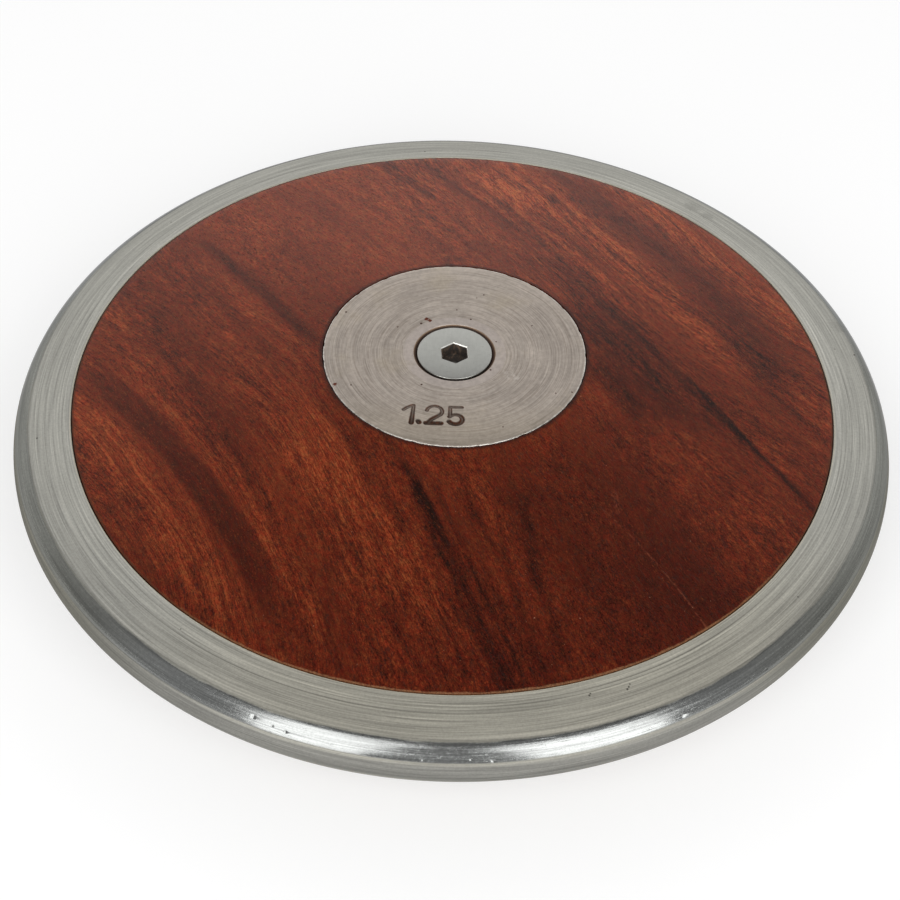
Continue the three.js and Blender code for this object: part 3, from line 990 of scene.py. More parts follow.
def screw_steel(settings):
    """Plated steel: a smooth cool grey head, rust and old grease down in the socket."""
    material, tree, shader = new_material("plated screw steel")
    place = millimetres(tree)
    x, y, _ = tree.split(place)
    radius = tree.vector("LENGTH", tree.join(x, y))
    top = HEAD_TOP / MM
    mottle = tree.noise(place, 0.8, 4.0, 0.6)
    brushed = tree.noise(place, (2.2, 0.35, 1.0), 3.0, 0.6)
    fine = tool_marks(tree, place, 2.0, 2.0, 2.0)
    scratches = tree.smooth(tree.noise(place, (0.5, 5.0, 1.0), 2.0, 0.6), 0.60, 0.70)
    plated = tree.tint(tree.tint(tuple(settings.head_colour), mottle, 0.22), brushed, 0.20)
    scratched = tree.mix(tree.times(scratches, 0.20), plated, PLATING_SCRATCH)
    sunk = sunk_below(tree, place, top, 0.22, 0.40)
    inside = tree.times(sunk, tree.smooth(radius, 3.6, 3.3))
    side = tree.times(
        sunk_below(tree, place, top, 0.16, 0.32),
        tree.smooth(radius, 7.4, 7.9),
    )
    shallow = sunk_below(tree, place, top, 2.6, 0.5)
    grease = tree.total(tree.noise(place, (1.3, 1.3, 0.7), 3.0, 0.7), tree.times(shallow, 0.08))
    grease_tone = tree.ramp(grease, GREASE)
    flecks = specks(tree, place, (1.6, 1.6, 1.6), 0.66, 0.06)
    flecked = tree.mix(tree.times(flecks, 0.30), scratched, PLATING_FLECK)
    # Painted highlight on the socket's bevel
    rounded = sunk_below(tree, place, top, 0.01, 0.06)
    bevel = tree.times(rounded, tree.smooth(radius, 4.2, 3.9, 0.0, 0.85))
    bevel_highlighted = tree.mix(bevel, flecked, SOCKET_BEVEL_HIGHLIGHT)
    glint = tree.smooth(radius, 1.1, 0.5, 0.0, 0.45)
    greased = tree.times(inside, tree.minus(0.94, glint))
    dull = tree.most(greased, tree.times(side, 0.80))
    colour = tree.mix(dull, bevel_highlighted, grease_tone)
    metallic = tree.inverse(tree.times(dull, 0.6))
    roughness = tree.total(0.30, tree.times(mottle, 0.10), tree.times(dull, 0.20))
    rings = tree.bump(fine, 0.003 * MM)
    normal = tree.bump(mottle, 0.012 * MM, rings)
    finish_shader(tree, shader, colour, roughness, normal, metallic)
    return material


# Rust on the nut and the washers

CORE_RUST = (0.130, 0.055, 0.025)


def core_steel(settings):
    """Plain steel of the hidden nut and washers: mill marks, stains and specks of rust."""
    material, tree, shader = new_material("plain core steel")
    place = millimetres(tree)
    fine = tool_marks(tree, place, 1.4, 2.4, 3.0)
    stains = tree.noise(place, 0.25, 4.0, 0.6)
    rust = specks(tree, place, (0.9, 0.9, 0.9), 0.60, 0.10)
    clean = tree.tint(tree.tint(tuple(settings.core_colour), fine, 0.35), stains, 0.45)
    colour = tree.mix(tree.times(rust, 0.8), clean, CORE_RUST)
    roughness = tree.total(0.36, tree.times(fine, 0.15), tree.times(rust, 0.30))
    ridges = tree.bump(fine, 0.010 * MM)
    normal = tree.bump(rust, 0.015 * MM, ridges)
    finish_shader(tree, shader, colour, roughness, normal, tree.inverse(tree.times(rust, 0.7)))
    return material


# The steel rim

FLANK_STEP = 0.1 * MM
FLANK_COARSE_STEP = 0.5 * MM
GROOVED_WIDTH = 4.4 * MM
NICK_MARGIN = 0.7 * MM
NICK_CUTS = 5
LOWER_FLANK_TURN = 1.9


def groove_depth(offset):
    """Depth of the turning grooves at an offset in millimetres from the rim's inner edge."""
    return sum(depth * math.exp(-(((offset - middle) / width) ** 2)) for middle, depth, width in RIM_GROOVES)


def rim_outline():
    """The rim's section: tongue, bore, grooved flanks and round edge."""
    bevel = 2 * EDGE_BREAK
    half = [(TONGUE_RADIUS, TONGUE_HALF - bevel), (TONGUE_RADIUS + bevel, TONGUE_HALF)]
    half += [(BAND_INNER - EDGE_BREAK, TONGUE_HALF), (BAND_INNER, TONGUE_HALF + EDGE_BREAK)]
    top = flank_height(BAND_INNER + EDGE_BREAK)
    half += arc((BAND_INNER + EDGE_BREAK, top - EDGE_BREAK), EDGE_BREAK, 180, 102, 4)
    fine_count = round(GROOVED_WIDTH / FLANK_STEP)
    coarse_start = BAND_INNER + EDGE_BREAK + GROOVED_WIDTH
    coarse_reach = TANGENT_RADIUS - coarse_start
    coarse_count = round(coarse_reach / FLANK_COARSE_STEP)
    radii = [BAND_INNER + EDGE_BREAK + FLANK_STEP * i for i in range(1, fine_count + 1)]
    radii += [coarse_start + coarse_reach * i / coarse_count for i in range(1, coarse_count)]
    for radius in radii:
        offset = (radius - BAND_INNER) / MM
        half.append((radius, flank_height(radius) - groove_depth(offset) * MM))
    half += arc((EDGE_CENTRE, 0.0), EDGE_RADIUS, 90 - math.degrees(TAPER), 0, 22)
    return half + [(radius, -height) for radius, height in reversed(half[:-1])]


def wander_grooves(bm, reach):
    """Lets the grooves stray along the flank, and stores how deep each point lies in one, as the share of
    painted shade in the grooves.
    """
    groove_shade = bm.verts.layers.float.new("groove_shade")
    for vert in bm.verts:
        radius = math.hypot(vert.co.x, vert.co.y)
        offset = (radius - BAND_INNER) / MM
        on_flank = BAND_INNER + EDGE_BREAK < radius < TANGENT_RADIUS and abs(vert.co.z) > TONGUE_HALF * 2
        if not on_flank:
            continue
        side = 1 if vert.co.z > 0 else -1
        turn = math.atan2(vert.co.y, vert.co.x) + (0 if side > 0 else LOWER_FLANK_TURN)
        fade = smooth_share(offset, 0.4, 1.2) * (1 - smooth_share(offset, 4.0, 4.7))
        wave = 0.55 * math.sin(2 * turn + 0.4) + 0.3 * math.sin(5 * turn + 1.3) + 0.15 * math.sin(11 * turn)
        part = 0.5 + 0.5 * math.sin(3 * turn + 2.0 * offset)
        vert[groove_shade] = min(1.0, groove_depth(offset) / 0.045) * (0.35 + 0.65 * part)
        stray = reach * wave * fade
        outward = Vector((vert.co.x, vert.co.y, 0)) / radius
        vert.co += outward * stray * math.cos(TAPER)
        vert.co.z -= side * stray * math.sin(TAPER)


def search_tree(points):
    """A tree that finds the points near a place."""
    found = KDTree(len(points))
    for index, point in enumerate(points):
        found.insert(point, index)
    found.balance()
    return found


def press_nicks(bm, nicks):
    """Refines the round edge at the nicks, knocks the surface in and adds painted shade in each nick."""
    groove_shade = bm.verts.layers.float["groove_shade"]
    hits = []
    for azimuth, bead_angle, radius, depth in nicks:
        outward = pointing(azimuth, bead_angle)
        middle = pointing(azimuth, 0) * EDGE_CENTRE
        hits.append((middle + outward * EDGE_RADIUS, outward, radius * MM, depth * MM))

    bm.faces.ensure_lookup_table()
    faces = search_tree([face.calc_center_median() for face in bm.faces])
    edges = set()
    for centre, _, radius, _ in hits:
        for _, index, _ in faces.find_range(centre, radius + NICK_MARGIN):
            edges.update(bm.faces[index].edges)
    bmesh.ops.subdivide_edges(bm, edges=list(edges), cuts=NICK_CUTS, use_grid_fill=True)

    bm.verts.ensure_lookup_table()
    verts = search_tree([vert.co for vert in bm.verts])
    for centre, outward, radius, depth in hits:
        for _, index, distance in verts.find_range(centre, radius):
            vert = bm.verts[index]
            share = 1 - distance / radius
            vert.co -= outward * depth * smooth_share(share, 0, 1)
            vert[groove_shade] = max(vert[groove_shade], 0.4 * share)


def make_rim(settings):
    """Spins the rim, lets its grooves wander, knocks the nicks in and dresses it."""
    bm = spin_outline(rim_outline(), settings.steps)
    wander_grooves(bm, settings.groove_wander)
    press_nicks(bm, RIM_NICKS)
    piece = mesh_object("turned_steel_rim", bm)
    finish_piece(piece, rim_steel(settings), "steel_rim", 40)


# The hardwood sides

WOOD_STEP = 2.2 * MM
LOWER_GRAIN_TURN = 1.9


def wood_outline():
    """A side's section: flank, worn outer edge, tongue rabbet, underside, nut bore and plate seat."""
    top_edge = flank_height(PLATE_SEAT_RADIUS)
    count = round((SIDE_RADIUS - PLATE_SEAT_RADIUS) / WOOD_STEP)
    round_over = 0.35 * MM
    edge = 0.1 * MM
    reach = SIDE_RADIUS - round_over - PLATE_SEAT_RADIUS
    radii = [PLATE_SEAT_RADIUS + reach * i / count for i in range(1, count)]
    outer = flank_height(SIDE_RADIUS - round_over)
    outline = [(PLATE_SEAT_RADIUS, PLATE_SEAT), (PLATE_SEAT_RADIUS, top_edge - edge)]
    outline += [(PLATE_SEAT_RADIUS + edge, flank_height(PLATE_SEAT_RADIUS + edge))]
    outline += [(radius, flank_height(radius)) for radius in radii]
    outline += arc((SIDE_RADIUS - round_over, outer - round_over), round_over, 78, 0, 4)
    outline += [(SIDE_RADIUS, RABBET_HEIGHT), (RABBET_RADIUS, RABBET_HEIGHT), (RABBET_RADIUS, SIDE_UNDERSIDE)]
    outline += [(POCKET_RADIUS, SIDE_UNDERSIDE), (POCKET_RADIUS, POCKET_HEIGHT)]
    outline += [(NUT_BORE_RADIUS, POCKET_HEIGHT), (NUT_BORE_RADIUS, PLATE_SEAT)]
    return outline


def shrink_edge(bm, reach):
    """Draws the outer wall of a side in unevenly, as dried wood does."""
    for vert in bm.verts:
        radius = math.hypot(vert.co.x, vert.co.y)
        if radius < SIDE_RADIUS - 1 * MM:
            continue
        turn = math.atan2(vert.co.y, vert.co.x)
        wave = math.sin(2 * turn + 0.7) + 0.6 * math.sin(7 * turn)
        wave += 0.5 * math.sin(17 * turn + 1) + 0.3 * math.sin(41 * turn)
        scale = 1 - reach * (0.5 + 0.2 * wave) / radius
        draw_in(vert, scale)


def make_wood_sides(settings):
    """Spins both sides and gives each its own cut of the wood."""
    grain = -settings.grain_angle
    sides = (
        (
            "upper", False, (0.0, 0.0, grain),
            UPPER_DARK_BANDS, UPPER_LIGHT_BANDS, UPPER_KNOTS, UPPER_SCRATCHES,
        ),
        (
            "lower", True, (math.pi, 0.0, grain + LOWER_GRAIN_TURN),
            LOWER_DARK_BANDS, LOWER_LIGHT_BANDS, LOWER_KNOTS, LOWER_SCRATCHES,
        ),
    )
    for side, lower, rotation, *patterns in sides:
        bm = spin_outline(wood_outline(), settings.steps)
        shrink_edge(bm, settings.shrinkage)
        if lower:
            turn_over(bm)
        piece = mesh_object(side + "_hardwood_side", bm)
        material = hardwood(side + " hardwood", settings, rotation, *patterns)
        finish_piece(piece, material, side + "_wood_side")


# The centre plates

STAMP_LOW = (-10.9, -22.4)
STAMP_HIGH = (3.1, -15.7)
STAMP_LIP = 0.015 * MM
STROKE_HALF_WIDTH = 0.34
STROKE_FOOT_GAIN = 0.18
LOWER_PLATE_TURN = 2.4


def oval(x, y, half_width, half_height, start, stop, steps=10):
    """Points of an oval arc, in millimetres and degrees."""
    angles = [math.radians(start + (stop - start) * i / steps) for i in range(steps + 1)]
    return [(x + half_width * math.cos(a), y + half_height * math.sin(a)) for a in angles]


STAMP_STROKES = (
    ((-10.15, -17.70), (-9.30, -16.95), (-8.45, -16.45), (-8.10, -16.40)),
    ((-8.10, -16.40), (-8.25, -18.60), (-8.45, -21.50)),
    ((-7.05, -20.95), (-6.85, -21.35)),
    (*oval(-3.75, -17.95, 1.60, 1.50, 172, -38), (-4.35, -20.35), (-5.05, -21.40)),
    ((-5.45, -21.45), (-2.35, -21.45)),
    ((1.90, -16.62), (-0.55, -16.62), (-0.50, -19.10)),
    oval(0.60, -20.15, 1.45, 1.40, 148, -152, 14),
)


def stroke_distance(x, y, stroke):
    """Shortest distance from a point to a stroke's line."""
    best = math.inf
    for (ax, ay), (bx, by) in zip(stroke, stroke[1:]):
        length = (bx - ax) ** 2 + (by - ay) ** 2
        share = min(1.0, max(0.0, ((x - ax) * (bx - ax) + (y - ay) * (by - ay)) / length))
        best = min(best, math.hypot(x - ax - share * (bx - ax), y - ay - share * (by - ay)))
    return best


def stamp_profile(x, y, depth):
    """At a point of the face: how far the stamp pushes it down, and the shares of stroke wall and floor."""
    foot = smooth_share(-y, -STAMP_HIGH[1], -STAMP_LOW[1])
    reach = STROKE_HALF_WIDTH + STROKE_FOOT_GAIN * foot
    distance = min(stroke_distance(x, y, stroke) for stroke in STAMP_STROKES) / reach
    sunk = depth * (0.55 + 0.45 * foot) * (1 - smooth_share(distance, 0.45, 1.10))
    lip = STAMP_LIP * smooth_share(distance, 0.9, 1.3) * (1 - smooth_share(distance, 1.3, 2.2))
    wall = smooth_share(distance, 0.20, 0.50) * (1 - smooth_share(distance, 1.00, 1.35))
    wall *= 0.85 + 0.15 * foot
    floor = (1 - smooth_share(distance, 0.75, 1.10)) * (0.55 + 0.45 * foot)
    return sunk - lip, wall, floor


def plate_outline(face):
    """A plate's section: broken outer edge, face, countersink, hole and underside."""
    edge = 0.25 * MM
    mouth = 0.08 * MM
    outline = [(PLATE_RADIUS - edge, PLATE_UNDERSIDE), (PLATE_RADIUS, PLATE_UNDERSIDE + edge)]
    outline += arc((PLATE_RADIUS - edge, face - edge), edge, 0, 90, 4)
    outline += [(radius * MM, face) for radius in (24.0, 18.0, 13.0, 10.8)]
    outline += [(COUNTERSINK_RADIUS + mouth, face), (COUNTERSINK_RADIUS, face - mouth)]
    cone_foot = face - (COUNTERSINK_RADIUS - PLATE_HOLE_RADIUS)
    outline += [(PLATE_HOLE_RADIUS, cone_foot), (PLATE_HOLE_RADIUS, PLATE_UNDERSIDE)]
    return outline


def stamp_face(bm, face, settings):
    """Lays a fine square mesh into the stamped patch of the face and presses the number in."""
    walls = bm.verts.layers.float.new("stroke_wall")
    floors = bm.verts.layers.float.new("stroke_floor")
    top = [f for f in bm.faces if f.normal.z > 0.99 and f.calc_center_median().z > face - 0.02 * MM]
    geometry = top + list({e for f in top for e in f.edges}) + list({v for f in top for v in f.verts})
    low, high = [[value * MM for value in corner] for corner in (STAMP_LOW, STAMP_HIGH)]
    for axis, places in ((0, (low[0], high[0])), (1, (low[1], high[1]))):
        for place in places:
            geometry = slice_face(bm, geometry, axis, place)
    inside = [f for f in geometry if isinstance(f, bmesh.types.BMFace) and in_patch(f, low, high)]
    patch = bmesh.ops.dissolve_faces(bm, faces=inside)["region"]
    geometry = patch + list({e for f in patch for e in f.edges}) + list({v for f in patch for v in f.verts})
    for axis in (0, 1):
        count = round((high[axis] - low[axis]) / settings.stamp_grid)
        for i in range(1, count):
            place = low[axis] + (high[axis] - low[axis]) * i / count
            geometry = slice_face(bm, geometry, axis, place)
    for vert in {v for v in geometry if isinstance(v, bmesh.types.BMVert)}:
        sunk, wall, floor = stamp_profile(vert.co.x / MM, vert.co.y / MM, settings.stamp_depth)
        vert.co.z -= sunk
        vert[walls] = wall
        vert[floors] = floor


def ragged_edge(bm, reach):
    """Draws a plate's upper edge in at small dents all round."""
    for vert in bm.verts:
        radius = math.hypot(vert.co.x, vert.co.y)
        if radius < PLATE_RADIUS - 0.4 * MM or vert.co.z < PLATE_SEAT + 3 * MM:
            continue
        turn = math.atan2(vert.co.y, vert.co.x)
        wave = math.sin(23 * turn + 0.5) + math.sin(41 * turn + 2.0 * math.sin(3 * turn))
        wave += math.sin(67 * turn + 1.1)
        scale = 1 - reach * smooth_share(wave, 0.4, 2.4) / radius
        draw_in(vert, scale)


def slice_face(bm, geometry, axis, place):
    """Cuts the given geometry along one line of a square grid and returns it with the new parts."""
    point, normal = Vector(), Vector()
    point[axis], normal[axis] = place, 1.0
    return bmesh.ops.bisect_plane(bm, geom=geometry, dist=WELD / 10, plane_co=point, plane_no=normal)["geom"]


def in_patch(face, low, high):
    """Whether a face lies inside the stamped patch."""
    centre = face.calc_center_median()
    return low[0] < centre.x < high[0] and low[1] < centre.y < high[1]


def make_centre_plates(settings):
    """Spins both plates and stamps the upper one."""
    plates = (
        ("upper", "upper_stamped_plate", (0, 0, 0)),
        ("lower", "lower_plain_plate", (math.pi, 0, LOWER_PLATE_TURN)),
    )
    for side, name, rotation in plates:
        upper = side == "upper"
        face = FACE_HEIGHT - (STAMP_LIP if upper else 0)
        bm = spin_outline(plate_outline(face), settings.steps)
        ragged_edge(bm, settings.edge_dents)
        if upper:
            stamp_face(bm, face, settings)
        else:
            turn_over(bm)
        piece = mesh_object(name, bm)
        material = plate_steel(side + " plate steel", settings, rotation)
        finish_piece(piece, material, side + "_centre_plate", 28)


# The screws, the nut and the washers

CORE_FACETS = 96
THREAD_ROOT = 3.32 * MM
THREAD_CREST = 3.95 * MM
THREAD_TOP = 13.0 * MM
THREAD_SEAT = 0.1 * MM
THREAD_END_SHARE = 0.08
THREAD_RUN_OUT = 0.6
RIDGE_FOOT = 0.34
RIDGE_CREST = 0.07
NUT_THREAD_ROOT = 4.15 * MM
NUT_THREAD_CREST = 3.45 * MM
NUT_CORNER_SLOPE = math.radians(30)


def thread_ridge(root, crest, low, high, settings, phase):
    """A bmesh of one helical ridge from low to high, tapering out at both ends."""
    steps = settings.thread_steps
    pitch = settings.pitch
    inward = 1 if crest > root else -1
    seat = root - inward * THREAD_SEAT
    run_out = THREAD_RUN_OUT * pitch
    turns = (high - low) / pitch
    start_turn = FULL_TURN * ((low / pitch - phase) % 1.0)
    bm = bmesh.new()
    section = ((seat, -RIDGE_FOOT), (crest, -RIDGE_CREST), (crest, RIDGE_CREST), (seat, RIDGE_FOOT))
    verts = [bm.verts.new((radius, 0, low + share * pitch)) for radius, share in section]
    edges = [bm.edges.new(pair) for pair in zip(verts, verts[1:] + verts[:1])]
    bmesh.ops.spin(
        bm, geom=verts + edges, cent=(0, 0, 0), axis=(0, 0, 1), dvec=(0, 0, pitch / steps),
        angle=FULL_TURN * turns, steps=round(steps * turns), use_merge=False, use_duplicate=False,
    )
    bmesh.ops.holes_fill(bm, edges=[e for e in bm.edges if e.is_boundary], sides=4)
    for vert in bm.verts:
        radius = math.hypot(vert.co.x, vert.co.y)
        rise = smooth_share(vert.co.z, low, low + run_out)
        fall = 1 - smooth_share(vert.co.z, high - run_out, high)
        scale = (seat + (radius - seat) * max(THREAD_END_SHARE, min(rise, fall))) / radius
        draw_in(vert, scale)
    rotate(bm, start_turn, "Z")
    bmesh.ops.recalc_face_normals(bm, faces=bm.faces)
    return bm


def add_mesh(bm, other):
    """Adds another bmesh to this one and frees the other."""
    spare = bpy.data.meshes.new("spare")
    other.to_mesh(spare)
    other.free()
    bm.from_mesh(spare)
    bpy.data.meshes.remove(spare)


def screw_outline():
    """A screw's section: head with a broken edge, land, cone, shank and thread core."""
    edge = 0.22 * MM
    fillet = 0.25 * MM
    below_cone = 0.2 * MM
    shoulder = 0.6 * MM
    tip = 0.7 * MM
    cone_foot = HEAD_TOP - HEAD_LAND - (HEAD_RADIUS - SHANK_RADIUS)
    outline = [(0, HEAD_TOP)] + arc((HEAD_RADIUS - edge, HEAD_TOP - edge), edge, 90, 0, 4)
    outline += [(HEAD_RADIUS, HEAD_TOP - HEAD_LAND), (SHANK_RADIUS + fillet, cone_foot + fillet)]
    outline += [(SHANK_RADIUS, cone_foot - below_cone), (SHANK_RADIUS, THREAD_TOP + shoulder)]
    outline += [(THREAD_ROOT, THREAD_TOP), (THREAD_ROOT, SCREW_TIP + tip)]
    outline += [(THREAD_ROOT - tip, SCREW_TIP), (0, SCREW_TIP)]
    return outline


def socket_outline():
    """Half the width of the socket punch against height, from above the mouth to its point."""
    above = 0.5 * MM
    bevel = 0.2 * MM
    floor = HEAD_TOP - SOCKET_DEPTH
    mouth = SOCKET_CORNER + bevel
    return [
        (0, HEAD_TOP + above), (mouth + above, HEAD_TOP + above),
        (SOCKET_CORNER, HEAD_TOP - bevel), (SOCKET_CORNER, floor), (0, floor - SOCKET_POINT),
    ]


def make_screws(settings):
    """Spins both screws, sinks their hexagon sockets and winds their threads."""
    for side in ("upper", "lower"):
        blank = spin_outline(screw_outline(), CORE_FACETS, closed=False)
        piece = mesh_object(side + "_threaded_screw", blank)
        punch = spin_outline(socket_outline(), 6, closed=False)
        rotate(punch, SOCKET_TURN, "Z")
        cut_out(piece, mesh_object("socket_punch", punch))
        bm = bmesh.new()
        bm.from_mesh(piece.data)
        add_mesh(bm, thread_ridge(THREAD_ROOT, THREAD_CREST, SCREW_TIP + 0.5 * MM, THREAD_TOP, settings, 0.0))
        if side == "lower":
            turn_over(bm)
        bm.to_mesh(piece.data)
        bm.free()
        finish_piece(piece, screw_steel(settings), side + "_socket_screw", 32)


def nut_outline():
    """The nut's section before its flats are cut: threaded bore, broken mouths and sloping corners."""
    mouth = 0.5 * MM
    corner_cut = 0.4 * MM
    overrun = 0.5 * MM
    face_edge = NUT_FLAT - corner_cut
    reach = NUT_CORNER + overrun
    drop = (reach - face_edge) * math.tan(NUT_CORNER_SLOPE)
    upper = [(NUT_THREAD_ROOT, NUT_HALF_LENGTH - mouth), (NUT_THREAD_ROOT + mouth, NUT_HALF_LENGTH)]
    upper += [(face_edge, NUT_HALF_LENGTH), (reach, NUT_HALF_LENGTH - drop)]
    return upper + [(radius, -height) for radius, height in reversed(upper)]


def cut_flat(bm, angle):
    """Cuts off what stands past one flat of the nut, and closes the cut with one face."""
    outward = Vector((math.cos(angle), math.sin(angle), 0.0))
    geometry = bm.verts[:] + bm.edges[:] + bm.faces[:]
    cut = bmesh.ops.bisect_plane(
        bm, geom=geometry, dist=WELD, plane_co=outward * NUT_FLAT, plane_no=outward, clear_outer=True
    )
    rim = [part for part in cut["geom_cut"] if isinstance(part, bmesh.types.BMEdge)]
    bmesh.ops.edgeloop_fill(bm, edges=rim)


def make_coupling_nut(settings):
    """Spins the long nut, cuts its six flats and threads its bore."""
    bm = spin_outline(nut_outline(), CORE_FACETS)
    for flat in range(6):
        cut_flat(bm, flat * FULL_TURN / 6)
    bmesh.ops.recalc_face_normals(bm, faces=bm.faces)
    plain_end = 1.2 * MM
    reach = NUT_HALF_LENGTH - plain_end
    add_mesh(bm, thread_ridge(NUT_THREAD_ROOT, NUT_THREAD_CREST, -reach, reach, settings, 0.5))
    piece = mesh_object("threaded_coupling_nut", bm)
    finish_piece(piece, core_steel(settings), "coupling_nut")


def make_trim_washers(settings):
    """Spins the washers: a rolled upper edge and a sharp lower one, as a punched washer has."""
    roll = 0.25 * MM
    for number in (1, 2, 3):
        low, high = (corner.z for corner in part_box(f"trim_washer_{number}"))
        outline = [(WASHER_BORE, low), (WASHER_RADIUS, low)]
        outline += arc((WASHER_RADIUS - roll, high - roll), roll, 0, 90, 3)
        outline += arc((WASHER_BORE + roll, high - roll), roll, 90, 180, 3)
        piece = mesh_object(f"punched_trim_washer_{number}", spin_outline(outline, CORE_FACETS))
        finish_piece(piece, core_steel(settings), f"trim_washer_{number}")


# The stage

CAMERA_PLACE = (0.0, -0.305787, 0.304870)
CAMERA_RIGHT = (0.99949428, 0.02336005, 0.02157531)
CAMERA_UP = (-0.0317903, 0.7180259, 0.69529)
CAMERA_FORWARD = (-0.00075038, 0.69562427, -0.7184054)
CAMERA_LENS = 78.604

ROOM_LEVEL = 0.62
BEHIND_LEVEL = 1.45
OVERHEAD_LEVEL = 0.38

# Softboxes: name, azimuth, elevation, distance, width, height
SOFTBOXES = (("left_softbox", -118, 30, 1.5, 0.67, 1.70), ("right_softbox", -57, 26, 1.5, 0.80, 1.50))


def lay_floor(settings):
    """A wide pale floor that keeps the shadow and that reflections see as white."""
    bm = bmesh.new()
    bmesh.ops.create_circle(bm, cap_ends=True, segments=96, radius=settings.floor_radius)
    bmesh.ops.translate(bm, verts=bm.verts, vec=(0, 0, -FACE_HEIGHT - 0.02 * MM))
    floor = mesh_object("studio_floor", bm)
    material = bpy.data.materials.new("pale floor")
    material.use_nodes = True
    tree = Tree(material.node_tree)
    level = settings.floor_colour
    cloth = tree.add("ShaderNodeBsdfDiffuse", {"Color": (level, level, level)})
    rays = tree.add("ShaderNodeLightPath").outputs
    seen = tree.most(rays["Is Camera Ray"], rays["Is Glossy Ray"], rays["Is Transmission Ray"])
    glow = tree.add("ShaderNodeEmission", {"Strength": tree.times(seen, settings.floor_glow)})
    both = tree.add("ShaderNodeAddShader", {0: cloth.outputs[0], 1: glow.outputs[0]})
    tree.add("ShaderNodeOutputMaterial", {"Surface": both.outputs[0]})
    floor.data.materials.append(material)


def hang_softbox(name, azimuth, elevation, distance, width, height, level):
    """A rectangular lamp that faces the object, dimmed so that its surface has the given level."""
    lamp = bpy.data.lights.new(name, "AREA")
    lamp.shape = "RECTANGLE"
    lamp.size = width
    lamp.size_y = height
    lamp.energy = level * math.pi * width * height
    place = pointing(azimuth, elevation)
    holder = bpy.data.objects.new(name, lamp)
    holder.location = place * distance
    holder.rotation_mode = "QUATERNION"
    holder.rotation_quaternion = place.to_track_quat("Z", "Y")
    holder.visible_camera = False
    bpy.context.scene.collection.objects.link(holder)


def light_world():
    """A plain grey room that is bright behind the object and darker at the sides, the front and overhead."""
    world = bpy.data.worlds.new("studio room")
    world.use_nodes = True
    bpy.context.scene.world = world
    tree = Tree(world.node_tree)
    direction = tree.add("ShaderNodeTexCoord").outputs["Generated"]
    _, y, z = tree.split(direction)
    behind = tree.smooth(y, -0.1, 0.75)
    overhead = tree.smooth(z, 0.60, 0.92)
    level = tree.blend_value(behind, ROOM_LEVEL, BEHIND_LEVEL)
    level = tree.blend_value(overhead, level, OVERHEAD_LEVEL)
    background = tree.add("ShaderNodeBackground", {"Strength": level})
    tree.add("ShaderNodeOutputWorld", {"Surface": background.outputs[0]})


def aim_camera():
    """The camera that took the photograph."""
    lens = bpy.data.cameras.new("photo_camera")
    lens.lens = CAMERA_LENS
    lens.sensor_width = 36
    lens.clip_start = 0.01
    camera = bpy.data.objects.new("photo_camera", lens)
    columns = Matrix((CAMERA_RIGHT, CAMERA_UP, [-value for value in CAMERA_FORWARD])).transposed()
    camera.matrix_world = Matrix.Translation(CAMERA_PLACE) @ columns.to_4x4()
    bpy.context.scene.collection.objects.link(camera)
    bpy.context.scene.camera = camera


# Operators


class DISCUS_OT_rim(bpy.types.Operator):
    """Make the turned steel rim"""

    bl_idname = "discus.make_rim"
    bl_label = "Steel Rim"

    def execute(self, context):
        make_rim(context.scene.discus_rim)
        return {"FINISHED"}


class DISCUS_OT_wood_sides(bpy.types.Operator):
    """Make the two hardwood sides"""

    bl_idname = "discus.make_wood_sides"
    bl_label = "Wood Sides"

    def execute(self, context):
        make_wood_sides(context.scene.discus_wood)
        return {"FINISHED"}


class DISCUS_OT_centre_plates(bpy.types.Operator):
    """Make the stamped upper plate and the plain lower plate"""

    bl_idname = "discus.make_centre_plates"
    bl_label = "Centre Plates"

    def execute(self, context):
        make_centre_plates(context.scene.discus_plates)
        return {"FINISHED"}


class DISCUS_OT_screws(bpy.types.Operator):
    """Make the two socket screws"""

    bl_idname = "discus.make_screws"
    bl_label = "Socket Screws"

    def execute(self, context):
        make_screws(context.scene.discus_fasteners)
        return {"FINISHED"}


class DISCUS_OT_coupling_nut(bpy.types.Operator):
    """Make the long nut that both screws pull on"""

    bl_idname = "discus.make_coupling_nut"
    bl_label = "Coupling Nut"

    def execute(self, context):
        make_coupling_nut(context.scene.discus_fasteners)
        return {"FINISHED"}


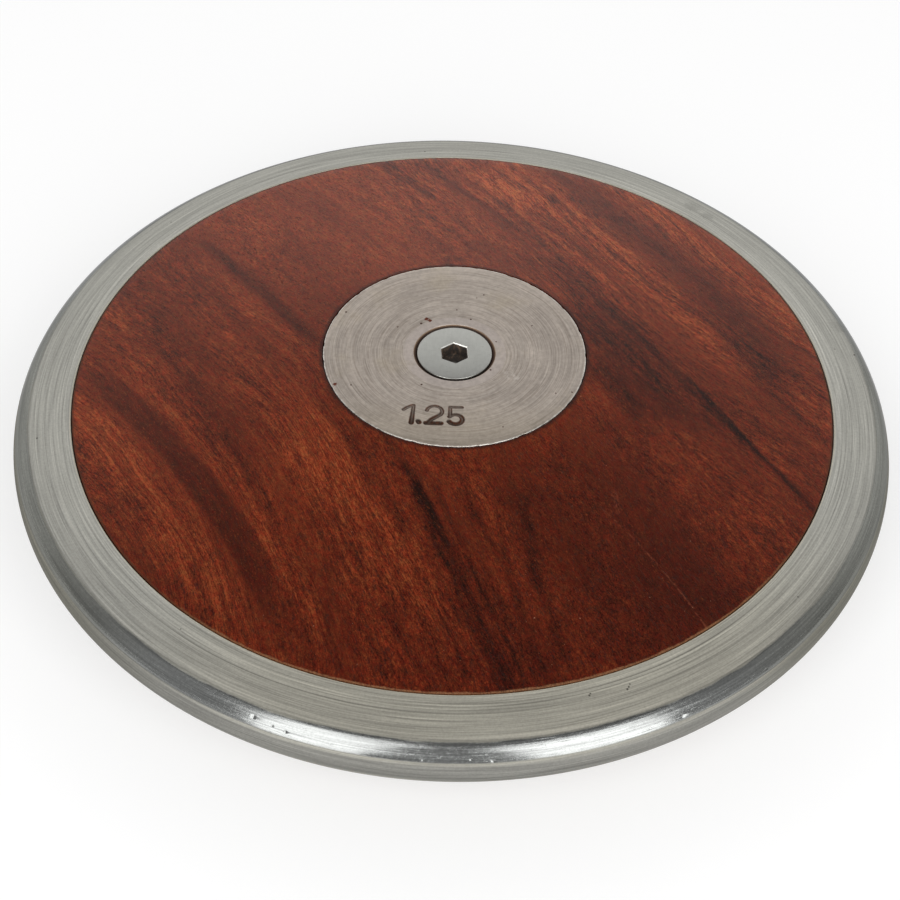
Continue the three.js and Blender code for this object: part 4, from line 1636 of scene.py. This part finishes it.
class DISCUS_OT_trim_washers(bpy.types.Operator):
    """Make the three washers that trim the weight"""

    bl_idname = "discus.make_trim_washers"
    bl_label = "Trim Washers"

    def execute(self, context):
        make_trim_washers(context.scene.discus_fasteners)
        return {"FINISHED"}


class DISCUS_OT_stage(bpy.types.Operator):
    """Set up the floor, the lamps, the world and the camera"""

    bl_idname = "discus.set_stage"
    bl_label = "Stage"

    def execute(self, context):
        settings = context.scene.discus_stage
        context.scene.view_settings.view_transform = "Standard"
        lay_floor(settings)
        for softbox in SOFTBOXES:
            hang_softbox(*softbox, settings.softbox_level)
        light_world()
        aim_camera()
        return {"FINISHED"}


STEPS = (
    DISCUS_OT_stage, DISCUS_OT_rim, DISCUS_OT_wood_sides, DISCUS_OT_centre_plates,
    DISCUS_OT_screws, DISCUS_OT_coupling_nut, DISCUS_OT_trim_washers,
)
SETTINGS = {
    "discus_rim": RimSettings, "discus_wood": WoodSettings, "discus_plates": PlateSettings,
    "discus_fasteners": FastenerSettings, "discus_stage": StageSettings,
}


class DISCUS_PT_panel(bpy.types.Panel):
    """Lists the steps and their settings"""

    bl_idname = "DISCUS_PT_panel"
    bl_label = "Throwing Discus"
    bl_space_type = "VIEW_3D"
    bl_region_type = "UI"
    bl_category = "Discus"

    def draw(self, context):
        for step in STEPS:
            self.layout.operator(step.bl_idname)
        for name, group in SETTINGS.items():
            box = self.layout.box()
            for field in group.__annotations__:
                box.prop(getattr(context.scene, name), field)


def register():
    """Registers the settings, the operators and the panel."""
    for name, group in SETTINGS.items():
        bpy.utils.register_class(group)
        setattr(bpy.types.Scene, name, PointerProperty(type=group))
    for step in (*STEPS, DISCUS_PT_panel):
        bpy.utils.register_class(step)


def unregister():
    """Removes what register added."""
    for step in reversed((*STEPS, DISCUS_PT_panel)):
        bpy.utils.unregister_class(step)
    for name, group in SETTINGS.items():
        delattr(bpy.types.Scene, name)
        bpy.utils.unregister_class(group)


def main():
    """Runs every step."""
    register()
    for step in STEPS:
        category, action = step.bl_idname.split(".")
        getattr(getattr(bpy.ops, category), action)()


if __name__ == "__main__":
    main()
